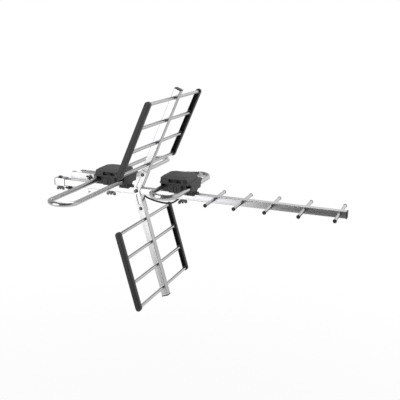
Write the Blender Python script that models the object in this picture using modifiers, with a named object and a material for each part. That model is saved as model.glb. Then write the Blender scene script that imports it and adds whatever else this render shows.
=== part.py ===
"""Directional TV antenna: a square boom with a corner reflector, two folded dipoles in
plastic boxes, five directors and a clamp with toothed jaws for a round mast.

Metres, +Z up, +X to the front (the way it receives from). The origin is the mast's axis
at the height of the boom's axis. Everything hangs from an empty on the boom's axis.
"""
import bpy
import bmesh
from math import ceil, cos, hypot, pi, radians, sin, tan
from mathutils import Matrix, Vector

# Fits
GAP = 0.0003                     # between pieces that touch
RUN_CLEARANCE = 0.0004           # round a bolt in a wing nut that turns

# Boom: square tube
BOOM_WIDTH = 0.0192
BOOM_WALL = 0.0014
BOOM_CORNER = 0.0016
BOOM_LENGTH = 0.8331
BOOM_REAR_X = -0.068             # rear end, measured from the mast's axis
CAP_FLANGE = 0.0022              # thickness of an end cap's rim
CAP_OVERHANG = 0.0009
CAP_DEPTH = 0.007

# Elements
ROD_RADIUS = 0.0045
ROD_WALL = 0.0009
DIRECTOR_HALF_LENGTH = 0.0863
DIRECTOR_HEIGHT = 0.0014         # above the boom's axis
FIRST_DIRECTOR_X = 0.4119
LAST_DIRECTOR_BACK = 0.0167      # from the boom's front end
DIRECTOR_GAP_RATIOS = (1.0, 1.051, 1.139, 1.183)   # each space against the first
PLUG_HEAD_RADIUS = 0.0058
PLUG_HEAD = 0.0024
PLUG_DEPTH = 0.010

# Corner reflector
APEX_X = 0.1856                  # where both panels' planes meet the boom's axis
UPPER_ANGLE = radians(68.5)      # between the boom and the upper arm
LOWER_ANGLE = radians(72.6)
FIRST_ROD = 0.0832               # along the arm, from the apex
ROD_PITCH = 0.0671
RODS_PER_PANEL = 4
ARM_WIDTH = 0.0188               # across the panel
ARM_DEPTH = 0.0206               # along the rods
ARM_WALL = 0.0014
ARM_CORNER = 0.0015
ARM_REACH = 0.308
UPPER_HALF_WIDTH = 0.1925        # to the outer faces of the edge strips
LOWER_HALF_WIDTH = 0.1830
STRIP_WIDTH = 0.0155
STRIP_THICKNESS = 0.0100
STRIP_WEB = 0.0022
STRIP_WALL = 0.0018
SOCKET_WALL = 0.0016

# Bracket that holds the arms on the boom
CHEEK_THICKNESS = 0.002
CHEEK_REACH = 0.0635
CHEEK_CORNER = 0.003
INNER_FILLET = 0.004
SLOT_START = 0.0125
SLOT_END = 0.0365
SLOT_WIDTH = 0.0072
RIVET_REACH = 0.051
RIVET_RADIUS = 0.0024
RIVET_HEAD_RADIUS = 0.0042
RIVET_HEAD = 0.0013

# Bolts and nuts
BOLT_RADIUS = 0.0030
HEX_ACROSS = 0.010
HEX_HEIGHT = 0.0042
NUT_BASE_RADIUS = 0.0060
NUT_TOP_RADIUS = 0.0046
NUT_HEIGHT = 0.0085
WING_SPAN = 0.0285               # under the boxes
SADDLE_WING_SPAN = 0.0240
MAST_WING_SPAN = 0.0172          # short enough to turn past the boom
WING_HEIGHT = 0.0135
WING_THICKNESS = 0.0028
WING_ROUND = 0.0042
THREAD_PAST_NUT = 0.0035

# Folded dipoles
LOOP_HEIGHT = 0.0290             # of the loop's plane above the boom's axis
LOOP_RADIUS = 0.0060             # of the tube
LOOP_WALL = 0.0010
FEED_GAP = 0.026
VHF_X = 0.1203
VHF_SPACING = 0.0694
VHF_HALF_LENGTH = 0.3334
VHF_BEND_RATIO = 1.04
UHF_X = 0.3136
UHF_SPACING = 0.0724
UHF_HALF_LENGTH = 0.1562
UHF_BEND_RATIO = 1.38            # the tube is pressed taller in the tight bends
BEND_STEPS = 8

# Dipole boxes, in their own frame: x and y from the box's centre, z from the boom's axis
BOX_HALF_DEPTH = 0.0445
BOX_HALF_LENGTH = 0.052
BOX_SHOULDER = 0.043             # where the ends step back round the tubes
BOX_TONGUE_HALF = 0.018          # half width of the end that stands proud
BOX_FLOOR = 0.0165
BOX_FRONT_FLOOR = 0.0195         # the underside rises ahead of the ends' tongues
BOX_SPLIT = 0.0393               # height of the joint between base and lid
BOX_TOP = 0.0588
BOX_WALL = 0.0028
BOX_DRAFT = 0.0022               # at the ends; the long sides draw in less
BOX_SIDE_DRAFT = 0.0007
BOX_SIDE_WALL = 0.0013
LID_SHELF = 0.0446
LID_SHOULDER = 0.0545            # where the raised part's sides turn into its slopes
LID_CREST = 0.0270               # front edge of the lid's flat top
LID_SLOPE = 0.0190               # length of the slope at each end
LID_CORNER = 0.0090              # cut off the raised part's corners
SHELF_CORNER = 0.0050
LID_ROOF = 0.0028
CATCH_HALF = 0.0175              # pocket for the catch in each end of the lid
CATCH_DEPTH = 0.0085
CATCH_FLOOR = 0.0448
CATCH_ROOF = 0.0528
VHF_BOLT_OFFSET = -0.016
UHF_BOLT_OFFSET = 0.006
BOX_BOLT_OFFSETS = (VHF_BOLT_OFFSET, UHF_BOLT_OFFSET)
END_RIB = 0.0012                 # ribs on the base's ends and on the foot's cheeks
END_RIB_WIDTH = 0.0024
BOSS_RADIUS = 0.0058
FOOT_REAR = 0.0135
FOOT_FRONT = 0.0435
FOOT_WAIST = 0.0085              # how far the foot draws in above its flare
FOOT_CHEEK = 0.0036
FOOT_LIP = 0.0052                # how far the foot reaches down over the boom's sides
TOE_LENGTH = 0.006
TOE_HEIGHT = 0.003
SOCKET_X = -0.007
SOCKET_Y = 0.0215
SOCKET_RADIUS = 0.0048
SOCKET_LENGTH = 0.009
CORE_RADIUS = 0.0009
BOARD_THICKNESS = 0.0016

# Mast clamp
MAST_RADIUS = 0.025
MAST_CLEAR = 0.0015              # between the mast and the clamp's web
CLAMP_SHEET = 0.0025
CLAMP_WIDTH = 0.072
CLAMP_SKEW = 0.008               # upper half forward, lower half rearward
CLAMP_HALF_HEIGHT = 0.0290
BACK_JAW_WIDTH = 0.061
BACK_JAW_HALF_HEIGHT = 0.0250
JAW_DEPTH = 0.014
JAW_HALF_ANGLE = radians(45)
TOOTH_PITCH = 0.0027
TOOTH_DEPTH = 0.0013
MAST_BOLT_X = 0.0325
MAST_BOLT_Z = 0.0187
TONGUE_REACH = 0.0675            # of the fixed jaw, rearward from the mast's axis
TONGUE_FRONT = 0.0525
SADDLE_REAR = -0.0676
SADDLE_FRONT = -0.0385
SADDLE_SHEET = 0.0016
SADDLE_LIP = 0.0045
SADDLE_BOLT_X = -0.0565

# Jumper lead between the two boxes
LEAD_RADIUS = 0.0025
LEAD_PLUG_RADIUS = 0.0056
LEAD_PLUG_LENGTH = 0.0125
LEAD_SIDE = 0.0170               # beside the boom's axis
LEAD_DROP = 0.0325               # lowest point of its sag, below the boom's axis

BOOM_HALF = BOOM_WIDTH / 2
BOOM_FACE = BOOM_HALF + GAP                      # where a piece that touches the boom starts
WEB_FACE = BOOM_FACE + CLAMP_SHEET               # mast side of the fixed jaw's web
MAST_OFFSET = WEB_FACE + MAST_CLEAR + MAST_RADIUS
CHEEK_INNER = max(BOOM_HALF, ARM_DEPTH / 2) + GAP
CHEEK_OUTER = CHEEK_INNER + CHEEK_THICKNESS

ROUND_SIDES = 16
ROD_SIDES = 12

for old in list(bpy.data.objects):
    bpy.data.objects.remove(old, do_unlink=True)

parts = bpy.data.collections.new("directional_tv_antenna")
cutters = bpy.data.collections.new("cutters")
bpy.context.scene.collection.children.link(parts)
bpy.context.scene.collection.children.link(cutters)


def make_material(name, colour, roughness, metallic):
    material = bpy.data.materials.new(name)
    material.use_nodes = True
    shader = material.node_tree.nodes["Principled BSDF"]
    shader.inputs["Base Color"].default_value = (*colour, 1.0)
    shader.inputs["Roughness"].default_value = roughness
    shader.inputs["Metallic"].default_value = metallic
    material.diffuse_color = (*colour, 1.0)
    return material


ALUMINIUM = ((0.86, 0.86, 0.87), 0.30, 1.0)
ZINC = ((0.66, 0.66, 0.67), 0.38, 1.0)
STEEL = ((0.42, 0.42, 0.43), 0.35, 1.0)
BLACK_PLASTIC = ((0.045, 0.045, 0.047), 0.48, 0.0)
BLACK_RUBBER = ((0.02, 0.02, 0.02), 0.60, 0.0)
BOARD_GREEN = ((0.05, 0.22, 0.10), 0.45, 0.0)

frame = bpy.data.objects.new("boom_axis", None)
frame.location = (0.0, -MAST_OFFSET, 0.0)
parts.objects.link(frame)


# Building helpers

def add_part(name, mesh, finish, parent=None, location=(0, 0, 0), rotation=(0, 0, 0)):
    """An object for one piece, with its own material, under the boom or another empty."""
    mesh.name = name
    obj = bpy.data.objects.new(name, mesh)
    mesh.materials.clear()
    mesh.materials.append(make_material(name, *finish))
    obj.parent = parent or frame
    obj.location = location
    obj.rotation_euler = rotation
    parts.objects.link(obj)
    mesh.shade_smooth()
    mesh.set_sharp_from_angle(angle=radians(32))
    return obj


def boolean(target, mesh, operation="DIFFERENCE", parent=None, location=(0, 0, 0),
            rotation=(0, 0, 0)):
    """Cut or join a mesh with a live EXACT Boolean; the tool mesh is hidden."""
    tool = bpy.data.objects.new(target.name + "_tool", mesh)
    tool.parent = parent or target.parent
    tool.location = location
    tool.rotation_euler = rotation
    tool.display_type = 'WIRE'
    tool.hide_render = True
    cutters.objects.link(tool)
    modifier = target.modifiers.new(operation.lower(), 'BOOLEAN')
    modifier.operation = operation
    modifier.solver = 'EXACT'
    modifier.object = tool
    return tool


def mesh_from(bm, name="mesh"):
    mesh = bpy.data.meshes.new(name)
    bm.to_mesh(mesh)
    bm.free()
    return mesh


def box_mesh(low, high):
    bm = bmesh.new()
    bmesh.ops.create_cube(bm, size=1.0)
    low, high = Vector(low), Vector(high)
    size, centre = high - low, (high + low) / 2
    for v in bm.verts:
        v.co = Vector((v.co.x * size.x, v.co.y * size.y, v.co.z * size.z)) + centre
    return mesh_from(bm)


AXIS_TURN = {
    "X": Matrix.Rotation(pi / 2, 3, 'Y'),
    "Y": Matrix.Rotation(-pi / 2, 3, 'X'),
    "Z": Matrix.Identity(3),
}


def cylinder_mesh(radius, start, end, centre=(0, 0, 0), axis="Z", sides=ROUND_SIDES,
                  end_radius=None):
    """A cylinder or cone along an axis, from start to end on that axis."""
    bm = bmesh.new()
    turn = Matrix.Rotation(pi / sides, 3, 'Z')
    bmesh.ops.create_cone(bm, cap_ends=True, segments=sides, radius1=radius,
                          radius2=radius if end_radius is None else end_radius,
                          depth=end - start)
    shift = Vector((0, 0, (start + end) / 2))
    for v in bm.verts:
        v.co = AXIS_TURN[axis] @ (turn @ v.co + shift) + Vector(centre)
    return mesh_from(bm)


def join_meshes(meshes):
    """Several separate closed shapes in one mesh, for use as one cutter."""
    bm = bmesh.new()
    for mesh in meshes:
        bm.from_mesh(mesh)
        bpy.data.meshes.remove(mesh)
    return mesh_from(bm)


def turned_mesh(profile, axis="Z", sides=ROUND_SIDES, centre=(0, 0, 0)):
    """A profile of (radius, height) points, outer side from top to bottom, turned about Z."""
    bm = bmesh.new()
    ring = [bm.verts.new((r, 0.0, z)) for r, z in profile]
    for a, b in zip(ring, ring[1:] + ring[:1]):
        if not (a.co.x < 1e-9 and b.co.x < 1e-9):
            bm.edges.new((a, b))
    obj = bpy.data.objects.new("turning", mesh_from(bm))
    cutters.objects.link(obj)
    screw = obj.modifiers.new("screw", 'SCREW')
    screw.steps = sides
    screw.render_steps = sides
    screw.use_merge_vertices = True
    screw.merge_threshold = 0.00002
    bpy.context.view_layer.update()
    evaluated = obj.evaluated_get(bpy.context.evaluated_depsgraph_get())
    mesh = bpy.data.meshes.new_from_object(evaluated)
    bpy.data.objects.remove(obj)
    bm = bmesh.new()
    bm.from_mesh(mesh)
    bmesh.ops.remove_doubles(bm, verts=bm.verts, dist=0.00001)
    bmesh.ops.recalc_face_normals(bm, faces=bm.faces)
    for v in bm.verts:
        v.co = AXIS_TURN[axis] @ v.co + Vector(centre)
    bm.to_mesh(mesh)
    bm.free()
    return mesh


def rounded_outline(corners, steps=3):
    """A closed outline whose corners (x, y, radius) are rounded by arcs."""
    points = []
    count = len(corners)
    for i, (x, y, radius) in enumerate(corners):
        here = Vector((x, y))
        if radius <= 0:
            points.append(here)
            continue
        back = (Vector(corners[i - 1][:2]) - here).normalized()
        ahead = (Vector(corners[(i + 1) % count][:2]) - here).normalized()
        half = back.angle(ahead) / 2
        reach = radius / tan(half)
        centre = here + (back + ahead).normalized() * (radius / sin(half))
        first = here + back * reach - centre
        last = here + ahead * reach - centre
        sweep = first.angle_signed(last)
        for k in range(steps + 1):
            points.append(centre + Matrix.Rotation(-sweep * k / steps, 2) @ first)
    return points


def circle_outline(x, y, radius, sides=ROUND_SIDES):
    return [Vector((x + radius * cos(2 * pi * (k + 0.5) / sides),
                    y + radius * sin(2 * pi * (k + 0.5) / sides))) for k in range(sides)]


def slot_outline(start, end, half_width, steps=6):
    """A stadium round the stretch from start to end."""
    start, end = Vector(start), Vector(end)
    along = (end - start).normalized()
    side = Vector((-along.y, along.x)) * half_width
    points = []
    for centre, sign in ((end, 1), (start, -1)):
        for k in range(steps + 1):
            turn = pi / 2 - pi * k / steps
            points.append(centre + sign * (along * half_width * cos(turn) + side * sin(turn)))
    return points


def plate_mesh(outlines, low, high, axis="Z"):
    """Flat outlines (later ones are holes) as a plate from low to high along an axis."""
    curve = bpy.data.curves.new("outline", 'CURVE')
    curve.dimensions = '2D'
    curve.fill_mode = 'BOTH'
    curve.extrude = (high - low) / 2
    for outline in outlines:
        spline = curve.splines.new('POLY')
        spline.points.add(len(outline) - 1)
        spline.use_cyclic_u = True
        for point, corner in zip(spline.points, outline):
            point.co = (corner.x, corner.y, 0.0, 1.0)
    obj = bpy.data.objects.new("outline", curve)
    cutters.objects.link(obj)
    bpy.context.view_layer.update()
    evaluated = obj.evaluated_get(bpy.context.evaluated_depsgraph_get())
    mesh = bpy.data.meshes.new_from_object(evaluated)
    bpy.data.objects.remove(obj)
    bpy.data.curves.remove(curve)
    bm = bmesh.new()
    bm.from_mesh(mesh)
    bmesh.ops.remove_doubles(bm, verts=bm.verts, dist=0.000001)
    bmesh.ops.recalc_face_normals(bm, faces=bm.faces)
    place = {"Z": Matrix.Identity(3),
             "Y": Matrix(((1, 0, 0), (0, 0, -1), (0, 1, 0))),
             "X": Matrix(((0, 0, 1), (1, 0, 0), (0, 1, 0)))}[axis]
    middle = (high + low) / 2
    offset = {"Z": Vector((0, 0, middle)), "Y": Vector((0, middle, 0)),
              "X": Vector((middle, 0, 0))}[axis]
    for v in bm.verts:
        v.co = place @ v.co + offset
    bm.to_mesh(mesh)
    bm.free()
    return mesh


def square_tube_mesh(width, height, wall, corner, low, high, axis):
    """A square tube: rounded outside, plain inside, along an axis."""
    a, b = width / 2, height / 2
    outer = rounded_outline([(-a, -b, corner), (a, -b, corner), (a, b, corner),
                             (-a, b, corner)], 2)
    c, d = a - wall, b - wall
    inner = [Vector(p) for p in ((-c, -d), (c, -d), (c, d), (-c, d))]
    return plate_mesh([outer, inner], low, high, axis)


def straight_tube_mesh(radius, wall, half_length, sides=ROD_SIDES):
    """A round tube along Y, open at both ends."""
    inner = radius - wall
    return turned_mesh([(radius, half_length), (radius, -half_length),
                        (inner, -half_length), (inner, half_length)], "Y", sides)


def swept_mesh(points, radius, sides_resolution=2, cyclic=False, caps=True):
    """A round bar along a poly line."""
    curve = bpy.data.curves.new("sweep", 'CURVE')
    curve.dimensions = '3D'
    curve.bevel_depth = radius
    curve.bevel_resolution = sides_resolution
    curve.use_fill_caps = caps
    spline = curve.splines.new('POLY')
    spline.points.add(len(points) - 1)
    spline.use_cyclic_u = cyclic
    for target, point in zip(spline.points, points):
        target.co = (*point, 1.0)
    obj = bpy.data.objects.new("sweep", curve)
    cutters.objects.link(obj)
    bpy.context.view_layer.update()
    evaluated = obj.evaluated_get(bpy.context.evaluated_depsgraph_get())
    mesh = bpy.data.meshes.new_from_object(evaluated)
    bpy.data.objects.remove(obj)
    bpy.data.curves.remove(curve)
    bm = bmesh.new()
    bm.from_mesh(mesh)
    bmesh.ops.remove_doubles(bm, verts=bm.verts, dist=0.000001)
    bmesh.ops.recalc_face_normals(bm, faces=bm.faces)
    bm.to_mesh(mesh)
    bm.free()
    return mesh


# Fasteners

def hex_bolt_mesh(length):
    """A bolt along +Z: hexagon head below z = 0, shank above."""
    head_radius = HEX_ACROSS / 2 / cos(pi / 6)
    bolt = cylinder_mesh(BOLT_RADIUS, -HEX_HEIGHT / 2, length, sides=12)
    head = cylinder_mesh(head_radius, -HEX_HEIGHT, 0.0, sides=6)
    return head, bolt


def add_bolt(name, length, parent=None, location=(0, 0, 0), rotation=(0, 0, 0), finish=STEEL):
    head, shank = hex_bolt_mesh(length)
    bolt = add_part(name, head, finish, parent, location, rotation)
    boolean(bolt, shank, "UNION", parent, location, rotation)
    return bolt


def wing_outline(span):
    """Half wing in the plane of the axis: rises outward from the hub to a round ear."""
    half = span / 2
    ear = min(WING_ROUND, (half - BOLT_RADIUS - 0.001) / 2)
    return rounded_outline([
        (BOLT_RADIUS + 0.0012, 0.0012, 0),
        (NUT_BASE_RADIUS, 0.0012, 0),
        (half, WING_HEIGHT - 2 * ear, ear * 0.9),
        (half, WING_HEIGHT, ear * 0.8),
        (half - 2 * ear, WING_HEIGHT, ear * 0.8),
        (NUT_TOP_RADIUS * 0.8, NUT_HEIGHT - 0.0012, 0),
        (BOLT_RADIUS + 0.0012, NUT_HEIGHT - 0.0012, 0),
    ], 2)


def add_wing_nut(name, location, rotation, span=WING_SPAN, finish=STEEL):
    """A wing nut with its flat foot at z = 0 and its wings towards +Z, on its bolt's axis."""
    bore = BOLT_RADIUS + RUN_CLEARANCE
    hub = turned_mesh([(NUT_TOP_RADIUS, NUT_HEIGHT), (NUT_BASE_RADIUS, 0.0012),
                       (NUT_BASE_RADIUS, 0.0), (bore, 0.0), (bore, NUT_HEIGHT)], "Z", 12)
    nut = add_part(name, hub, finish, frame, location, rotation)
    right = wing_outline(span)
    left = [Vector((-p.x, p.y)) for p in reversed(right)]
    for outline in (right, left):
        wing = plate_mesh([outline], -WING_THICKNESS / 2, WING_THICKNESS / 2, "Y")
        boolean(nut, wing, "UNION", frame, location, rotation)
    return nut


# Boom

def build_boom():
    tube = square_tube_mesh(BOOM_WIDTH, BOOM_WIDTH, BOOM_WALL, BOOM_CORNER,
                            BOOM_REAR_X, BOOM_REAR_X + BOOM_LENGTH, "X")
    boom = add_part("boom", tube, ALUMINIUM)
    half = BOOM_HALF + 0.002
    holes = [cylinder_mesh(ROD_RADIUS + GAP, -half, half, (x, 0, DIRECTOR_HEIGHT), "Y",
                           ROD_SIDES) for x in director_places()]
    holes.append(cylinder_mesh(BOLT_RADIUS + GAP, -half, half, (APEX_X, 0, 0), "Y", 12))
    for x in (SADDLE_BOLT_X, VHF_X + VHF_BOLT_OFFSET, UHF_X + UHF_BOLT_OFFSET):
        holes.append(cylinder_mesh(BOLT_RADIUS + GAP, -half, half, (x, 0, 0), "Z", 12))
    boolean(boom, join_meshes(holes))
    for name, x, outward in (("boom_cap_rear", BOOM_REAR_X, -1),
                             ("boom_cap_front", BOOM_REAR_X + BOOM_LENGTH, 1)):
        build_boom_cap(name, x, outward)


def build_boom_cap(name, end_x, outward):
    """A push-in cap: a rim over the tube's end and a hollow spigot inside it."""
    rim = BOOM_HALF + CAP_OVERHANG
    plate = rounded_outline([(-rim, -rim, 0.002), (rim, -rim, 0.002), (rim, rim, 0.002),
                             (-rim, rim, 0.002)], 2)
    near, far = end_x + outward * GAP, end_x + outward * (GAP + CAP_FLANGE)
    cap = add_part(name, plate_mesh([plate], min(near, far), max(near, far), "X"),
                   BLACK_PLASTIC)
    inner = BOOM_HALF - BOOM_WALL - GAP
    root, tip = near + outward * CAP_FLANGE / 2, end_x - outward * CAP_DEPTH
    boolean(cap, box_mesh((min(root, tip), -inner, -inner), (max(root, tip), inner, inner)),
            "UNION")
    hollow = inner - BOOM_WALL
    start, stop = near - outward * 0.001, tip - outward * 0.001
    boolean(cap, box_mesh((min(start, stop), -hollow, -hollow),
                          (max(start, stop), hollow, hollow)))


def director_places():
    """From the first one to the last, which stands back from the boom's front end."""
    last = BOOM_REAR_X + BOOM_LENGTH - LAST_DIRECTOR_BACK
    unit = (last - FIRST_DIRECTOR_X) / sum(DIRECTOR_GAP_RATIOS)
    places = [FIRST_DIRECTOR_X]
    for ratio in DIRECTOR_GAP_RATIOS:
        places.append(places[-1] + ratio * unit)
    return places


def build_directors():
    for number, x in enumerate(director_places(), 1):
        tube = straight_tube_mesh(ROD_RADIUS, ROD_WALL, DIRECTOR_HALF_LENGTH - PLUG_HEAD)
        add_part(f"director_{number}", tube, ALUMINIUM, location=(x, 0, DIRECTOR_HEIGHT))
        for side, word in ((-1, "near"), (1, "far")):
            add_part(f"director_{number}_plug_{word}", plug_mesh(side), BLACK_PLASTIC,
                     location=(x, 0, DIRECTOR_HEIGHT))


def plug_mesh(side):
    """A mushroom plug along Y: domed head outside the tube, spigot inside it."""
    seat = DIRECTOR_HALF_LENGTH - PLUG_HEAD + GAP
    end = DIRECTOR_HALF_LENGTH
    spigot = ROD_RADIUS - ROD_WALL - GAP
    profile = [(0.0, end), (PLUG_HEAD_RADIUS * 0.82, end), (PLUG_HEAD_RADIUS, seat),
               (spigot, seat), (spigot * 0.92, end - PLUG_DEPTH), (0.0, end - PLUG_DEPTH)]
    mesh = turned_mesh(profile, "Y", ROD_SIDES)
    if side < 0:
        mesh.transform(Matrix.Rotation(pi, 4, 'Z'))
    return mesh


# Corner reflector

def panel_empty(name, angle, upper):
    """An empty at the apex whose +Z runs out along an arm."""
    empty = bpy.data.objects.new(name, None)
    empty.parent = frame
    empty.location = (APEX_X, 0, 0)
    lean = pi / 2 - angle if upper else pi / 2 + angle
    empty.rotation_euler = (0, lean, 0)
    parts.objects.link(empty)
    return empty


def rod_places():
    return [FIRST_ROD + k * ROD_PITCH for k in range(RODS_PER_PANEL)]


def build_panel(word, angle, half_width, upper):
    panel = panel_empty(f"{word}_panel_axis", angle, upper)
    build_arm(word, panel, upper)
    strip_inner = half_width - STRIP_WEB - GAP
    for number, reach in enumerate(rod_places(), 1):
        tube = straight_tube_mesh(ROD_RADIUS, ROD_WALL, strip_inner)
        add_part(f"{word}_reflector_rod_{number}", tube, ALUMINIUM, panel, (0, 0, reach))
    for side, where in ((-1, "near"), (1, "far")):
        build_strip(f"{word}_edge_strip_{where}", panel, half_width, side)


def build_arm(word, panel, upper):
    """A square tube cut flat where it stands on the boom, with holes for rods and rivet."""
    tube = square_tube_mesh(ARM_WIDTH, ARM_DEPTH, ARM_WALL, ARM_CORNER, 0.0, ARM_REACH, "Z")
    arm = add_part(f"{word}_arm", tube, ALUMINIUM, panel)
    half = ARM_DEPTH / 2 + 0.002
    holes = [cylinder_mesh(ROD_RADIUS + GAP, -half, half, (0, 0, reach), "Y", ROD_SIDES)
             for reach in rod_places()]
    holes.append(cylinder_mesh(RIVET_RADIUS + GAP, -half, half, (0, 0, RIVET_REACH), "Y", 12))
    boolean(arm, join_meshes(holes))
    reach = ARM_WIDTH * 2
    if upper:
        low, high = (APEX_X - reach, -half, -reach), (APEX_X + reach, half, BOOM_FACE)
    else:
        low, high = (APEX_X - reach, -half, -BOOM_FACE), (APEX_X + reach, half, reach)
    boolean(arm, box_mesh(low, high), parent=frame)
    a, b = ARM_WIDTH / 2 + 0.0004, ARM_DEPTH / 2 + 0.0004
    rim = rounded_outline([(-a, -b, 0.002), (a, -b, 0.002), (a, b, 0.002), (-a, b, 0.002)], 2)
    plug = add_part(f"{word}_arm_plug",
                    plate_mesh([rim], ARM_REACH + GAP, ARM_REACH + GAP + CAP_FLANGE, "Z"),
                    BLACK_PLASTIC, panel)
    c, d = a - 0.0004 - ARM_WALL - GAP, b - 0.0004 - ARM_WALL - GAP
    boolean(plug, box_mesh((-c, -d, ARM_REACH - 0.010), (c, d, ARM_REACH + CAP_FLANGE / 2)),
            "UNION")


def build_strip(name, panel, half_width, side):
    """A moulded channel with round ends; each rod seats in a socket of its own."""
    first, last = rod_places()[0], rod_places()[-1]
    half = STRIP_WIDTH / 2
    outline = slot_outline((first, 0), (last, 0), half, 8)
    outer, inner = half_width, half_width - STRIP_THICKNESS
    floor = half_width - STRIP_WEB
    low, high = (inner, outer) if side > 0 else (-outer, -inner)
    body = plate_mesh([[Vector((p.y, p.x)) for p in reversed(outline)]], low, high, "Y")
    strip = add_part(name, body, BLACK_PLASTIC, panel)
    pocket = half - STRIP_WALL
    socket = ROD_RADIUS + GAP + SOCKET_WALL
    start, stop = (inner - 0.001, floor) if side > 0 else (-floor, -inner + 0.001)
    tools = [cylinder_mesh(ROD_RADIUS + GAP, start, stop, (0, 0, reach), "Y", ROD_SIDES)
             for reach in rod_places()]
    for reach in rod_places()[:-1]:
        tools.append(box_mesh((-pocket, start, reach + socket),
                              (pocket, stop, reach + ROD_PITCH - socket)))
    boolean(strip, join_meshes(tools))


# Bracket

def arm_direction(angle, upper):
    return Vector((cos(angle), sin(angle) if upper else -sin(angle)))


def cheek_outline():
    """Two bars along the arms, joined at the apex, with a fillet in the inner corner."""
    up, down = arm_direction(UPPER_ANGLE, True), arm_direction(LOWER_ANGLE, False)
    front_up, front_down = Vector((up.y, -up.x)), Vector((-down.y, down.x))
    half = ARM_WIDTH / 2

    def crossing(side):
        """Where the two bars' edges on one side meet."""
        a, b = front_up * half * side, front_down * half * side
        gap = b - a
        t = (gap.x * down.y - gap.y * down.x) / (up.x * down.y - up.y * down.x)
        return a + up * t

    rear, front = crossing(-1), crossing(1)
    ends = [up * CHEEK_REACH - front_up * half, down * CHEEK_REACH - front_down * half,
            down * CHEEK_REACH + front_down * half, up * CHEEK_REACH + front_up * half]
    apex = Vector((APEX_X, 0))
    corners = [(*(apex + ends[0]), CHEEK_CORNER), (*(apex + rear), half * 0.8),
               (*(apex + ends[1]), CHEEK_CORNER), (*(apex + ends[2]), CHEEK_CORNER),
               (*(apex + front), INNER_FILLET), (*(apex + ends[3]), CHEEK_CORNER)]
    return rounded_outline(corners, 4), apex, up, down


def build_bracket():
    outline, apex, up, down = cheek_outline()
    holes = []
    for way in (up, down):
        holes.append(slot_outline(apex + way * SLOT_START, apex + way * SLOT_END,
                                  SLOT_WIDTH / 2))
    bolt_hole = circle_outline(*apex, BOLT_RADIUS + GAP, 12)
    rivet_holes = [circle_outline(*(apex + way * RIVET_REACH), RIVET_RADIUS + GAP, 12)
                   for way in (up, down)]
    far = plate_mesh([outline, bolt_hole] + holes + rivet_holes, CHEEK_INNER, CHEEK_OUTER, "Y")
    add_part("bracket_cheek_far", far, ZINC)
    near = add_part("bracket_cheek_near",
                    plate_mesh([outline, bolt_hole] + holes, -CHEEK_OUTER, -CHEEK_INNER, "Y"),
                    ZINC)
    rivet_end = CHEEK_OUTER + GAP + RIVET_HEAD
    shanks, heads = [], []
    for way in (up, down):
        spot = apex + way * RIVET_REACH
        shanks.append(cylinder_mesh(RIVET_RADIUS, -CHEEK_OUTER + 0.0005, rivet_end - 0.0004,
                                    (spot.x, 0, spot.y), "Y", 12))
        heads.append(cylinder_mesh(RIVET_HEAD_RADIUS, -CHEEK_OUTER - RIVET_HEAD,
                                   -CHEEK_OUTER + 0.0004, (spot.x, 0, spot.y), "Y", 12))
        heads.append(cylinder_mesh(RIVET_HEAD_RADIUS, CHEEK_OUTER + GAP, rivet_end,
                                   (spot.x, 0, spot.y), "Y", 12))
    boolean(near, join_meshes(shanks), "UNION")
    boolean(near, join_meshes(heads), "UNION")
    nut_start = CHEEK_OUTER + GAP
    length = 2 * CHEEK_OUTER + 2 * GAP + HEX_HEIGHT + THREAD_PAST_NUT
    add_bolt("bracket_bolt", length, location=(APEX_X, -CHEEK_OUTER - GAP, 0),
             rotation=(-pi / 2, 0, 0))
    nut = cylinder_mesh(HEX_ACROSS / 2 / cos(pi / 6), nut_start, nut_start + HEX_HEIGHT,
                        (APEX_X, 0, 0), "Y", 6)
    nut = add_part("bracket_nut", nut, STEEL)
    boolean(nut, cylinder_mesh(BOLT_RADIUS + GAP, nut_start - 0.001,
                               nut_start + HEX_HEIGHT + 0.001, (APEX_X, 0, 0), "Y", 12))


# Folded dipoles

def loop_points(spacing, half_length):
    """Down one limb from the feed gap, round both ends, and back to the gap."""
    bend = spacing / 2
    straight = half_length - bend
    points = [Vector((-bend, FEED_GAP / 2, 0))]
    for end in (1, -1):
        for k in range(BEND_STEPS + 1):
            turn = pi * k / BEND_STEPS
            points.append(Vector((-end * bend * cos(turn), end * (straight + bend * sin(turn)),
                                  0)))
    points.append(Vector((-bend, -FEED_GAP / 2, 0)))
    return points


def flatten_bends(mesh, spacing, half_length, flatten):
    """Where the tube bends, its section becomes taller and narrower, as a pressed bend is."""
    bend = spacing / 2
    straight = half_length - bend
    for v in mesh.vertices:
        past = (abs(v.co.y) - straight) / bend
        if past <= 0:
            continue
        amount = min(1.0, past * 2.2)
        end = 1 if v.co.y > 0 else -1
        centre = Vector((0, end * straight, 0))
        out = Vector((v.co.x, v.co.y, 0)) - centre
        narrow = 1 + (1 / flatten - 1) * amount
        out = out.normalized() * (bend + (out.length - bend) * narrow)
        v.co = Vector((out.x, out.y + centre.y, v.co.z * (1 + (flatten - 1) * amount)))


def build_loop(name, x, spacing, half_length, flatten):
    points = loop_points(spacing, half_length)
    outer = swept_mesh(points, LOOP_RADIUS, 4)
    ends = [points[0] + Vector((0, -0.001, 0))] + points[1:-1]
    ends.append(points[-1] + Vector((0, 0.001, 0)))
    inner = swept_mesh(ends, LOOP_RADIUS - LOOP_WALL, 1)
    for mesh in (outer, inner):
        flatten_bends(mesh, spacing, half_length, flatten)
    loop = add_part(name, outer, ALUMINIUM, location=(x, 0, LOOP_HEIGHT))
    boolean(loop, inner, location=(x, 0, LOOP_HEIGHT))


# Dipole boxes

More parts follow.
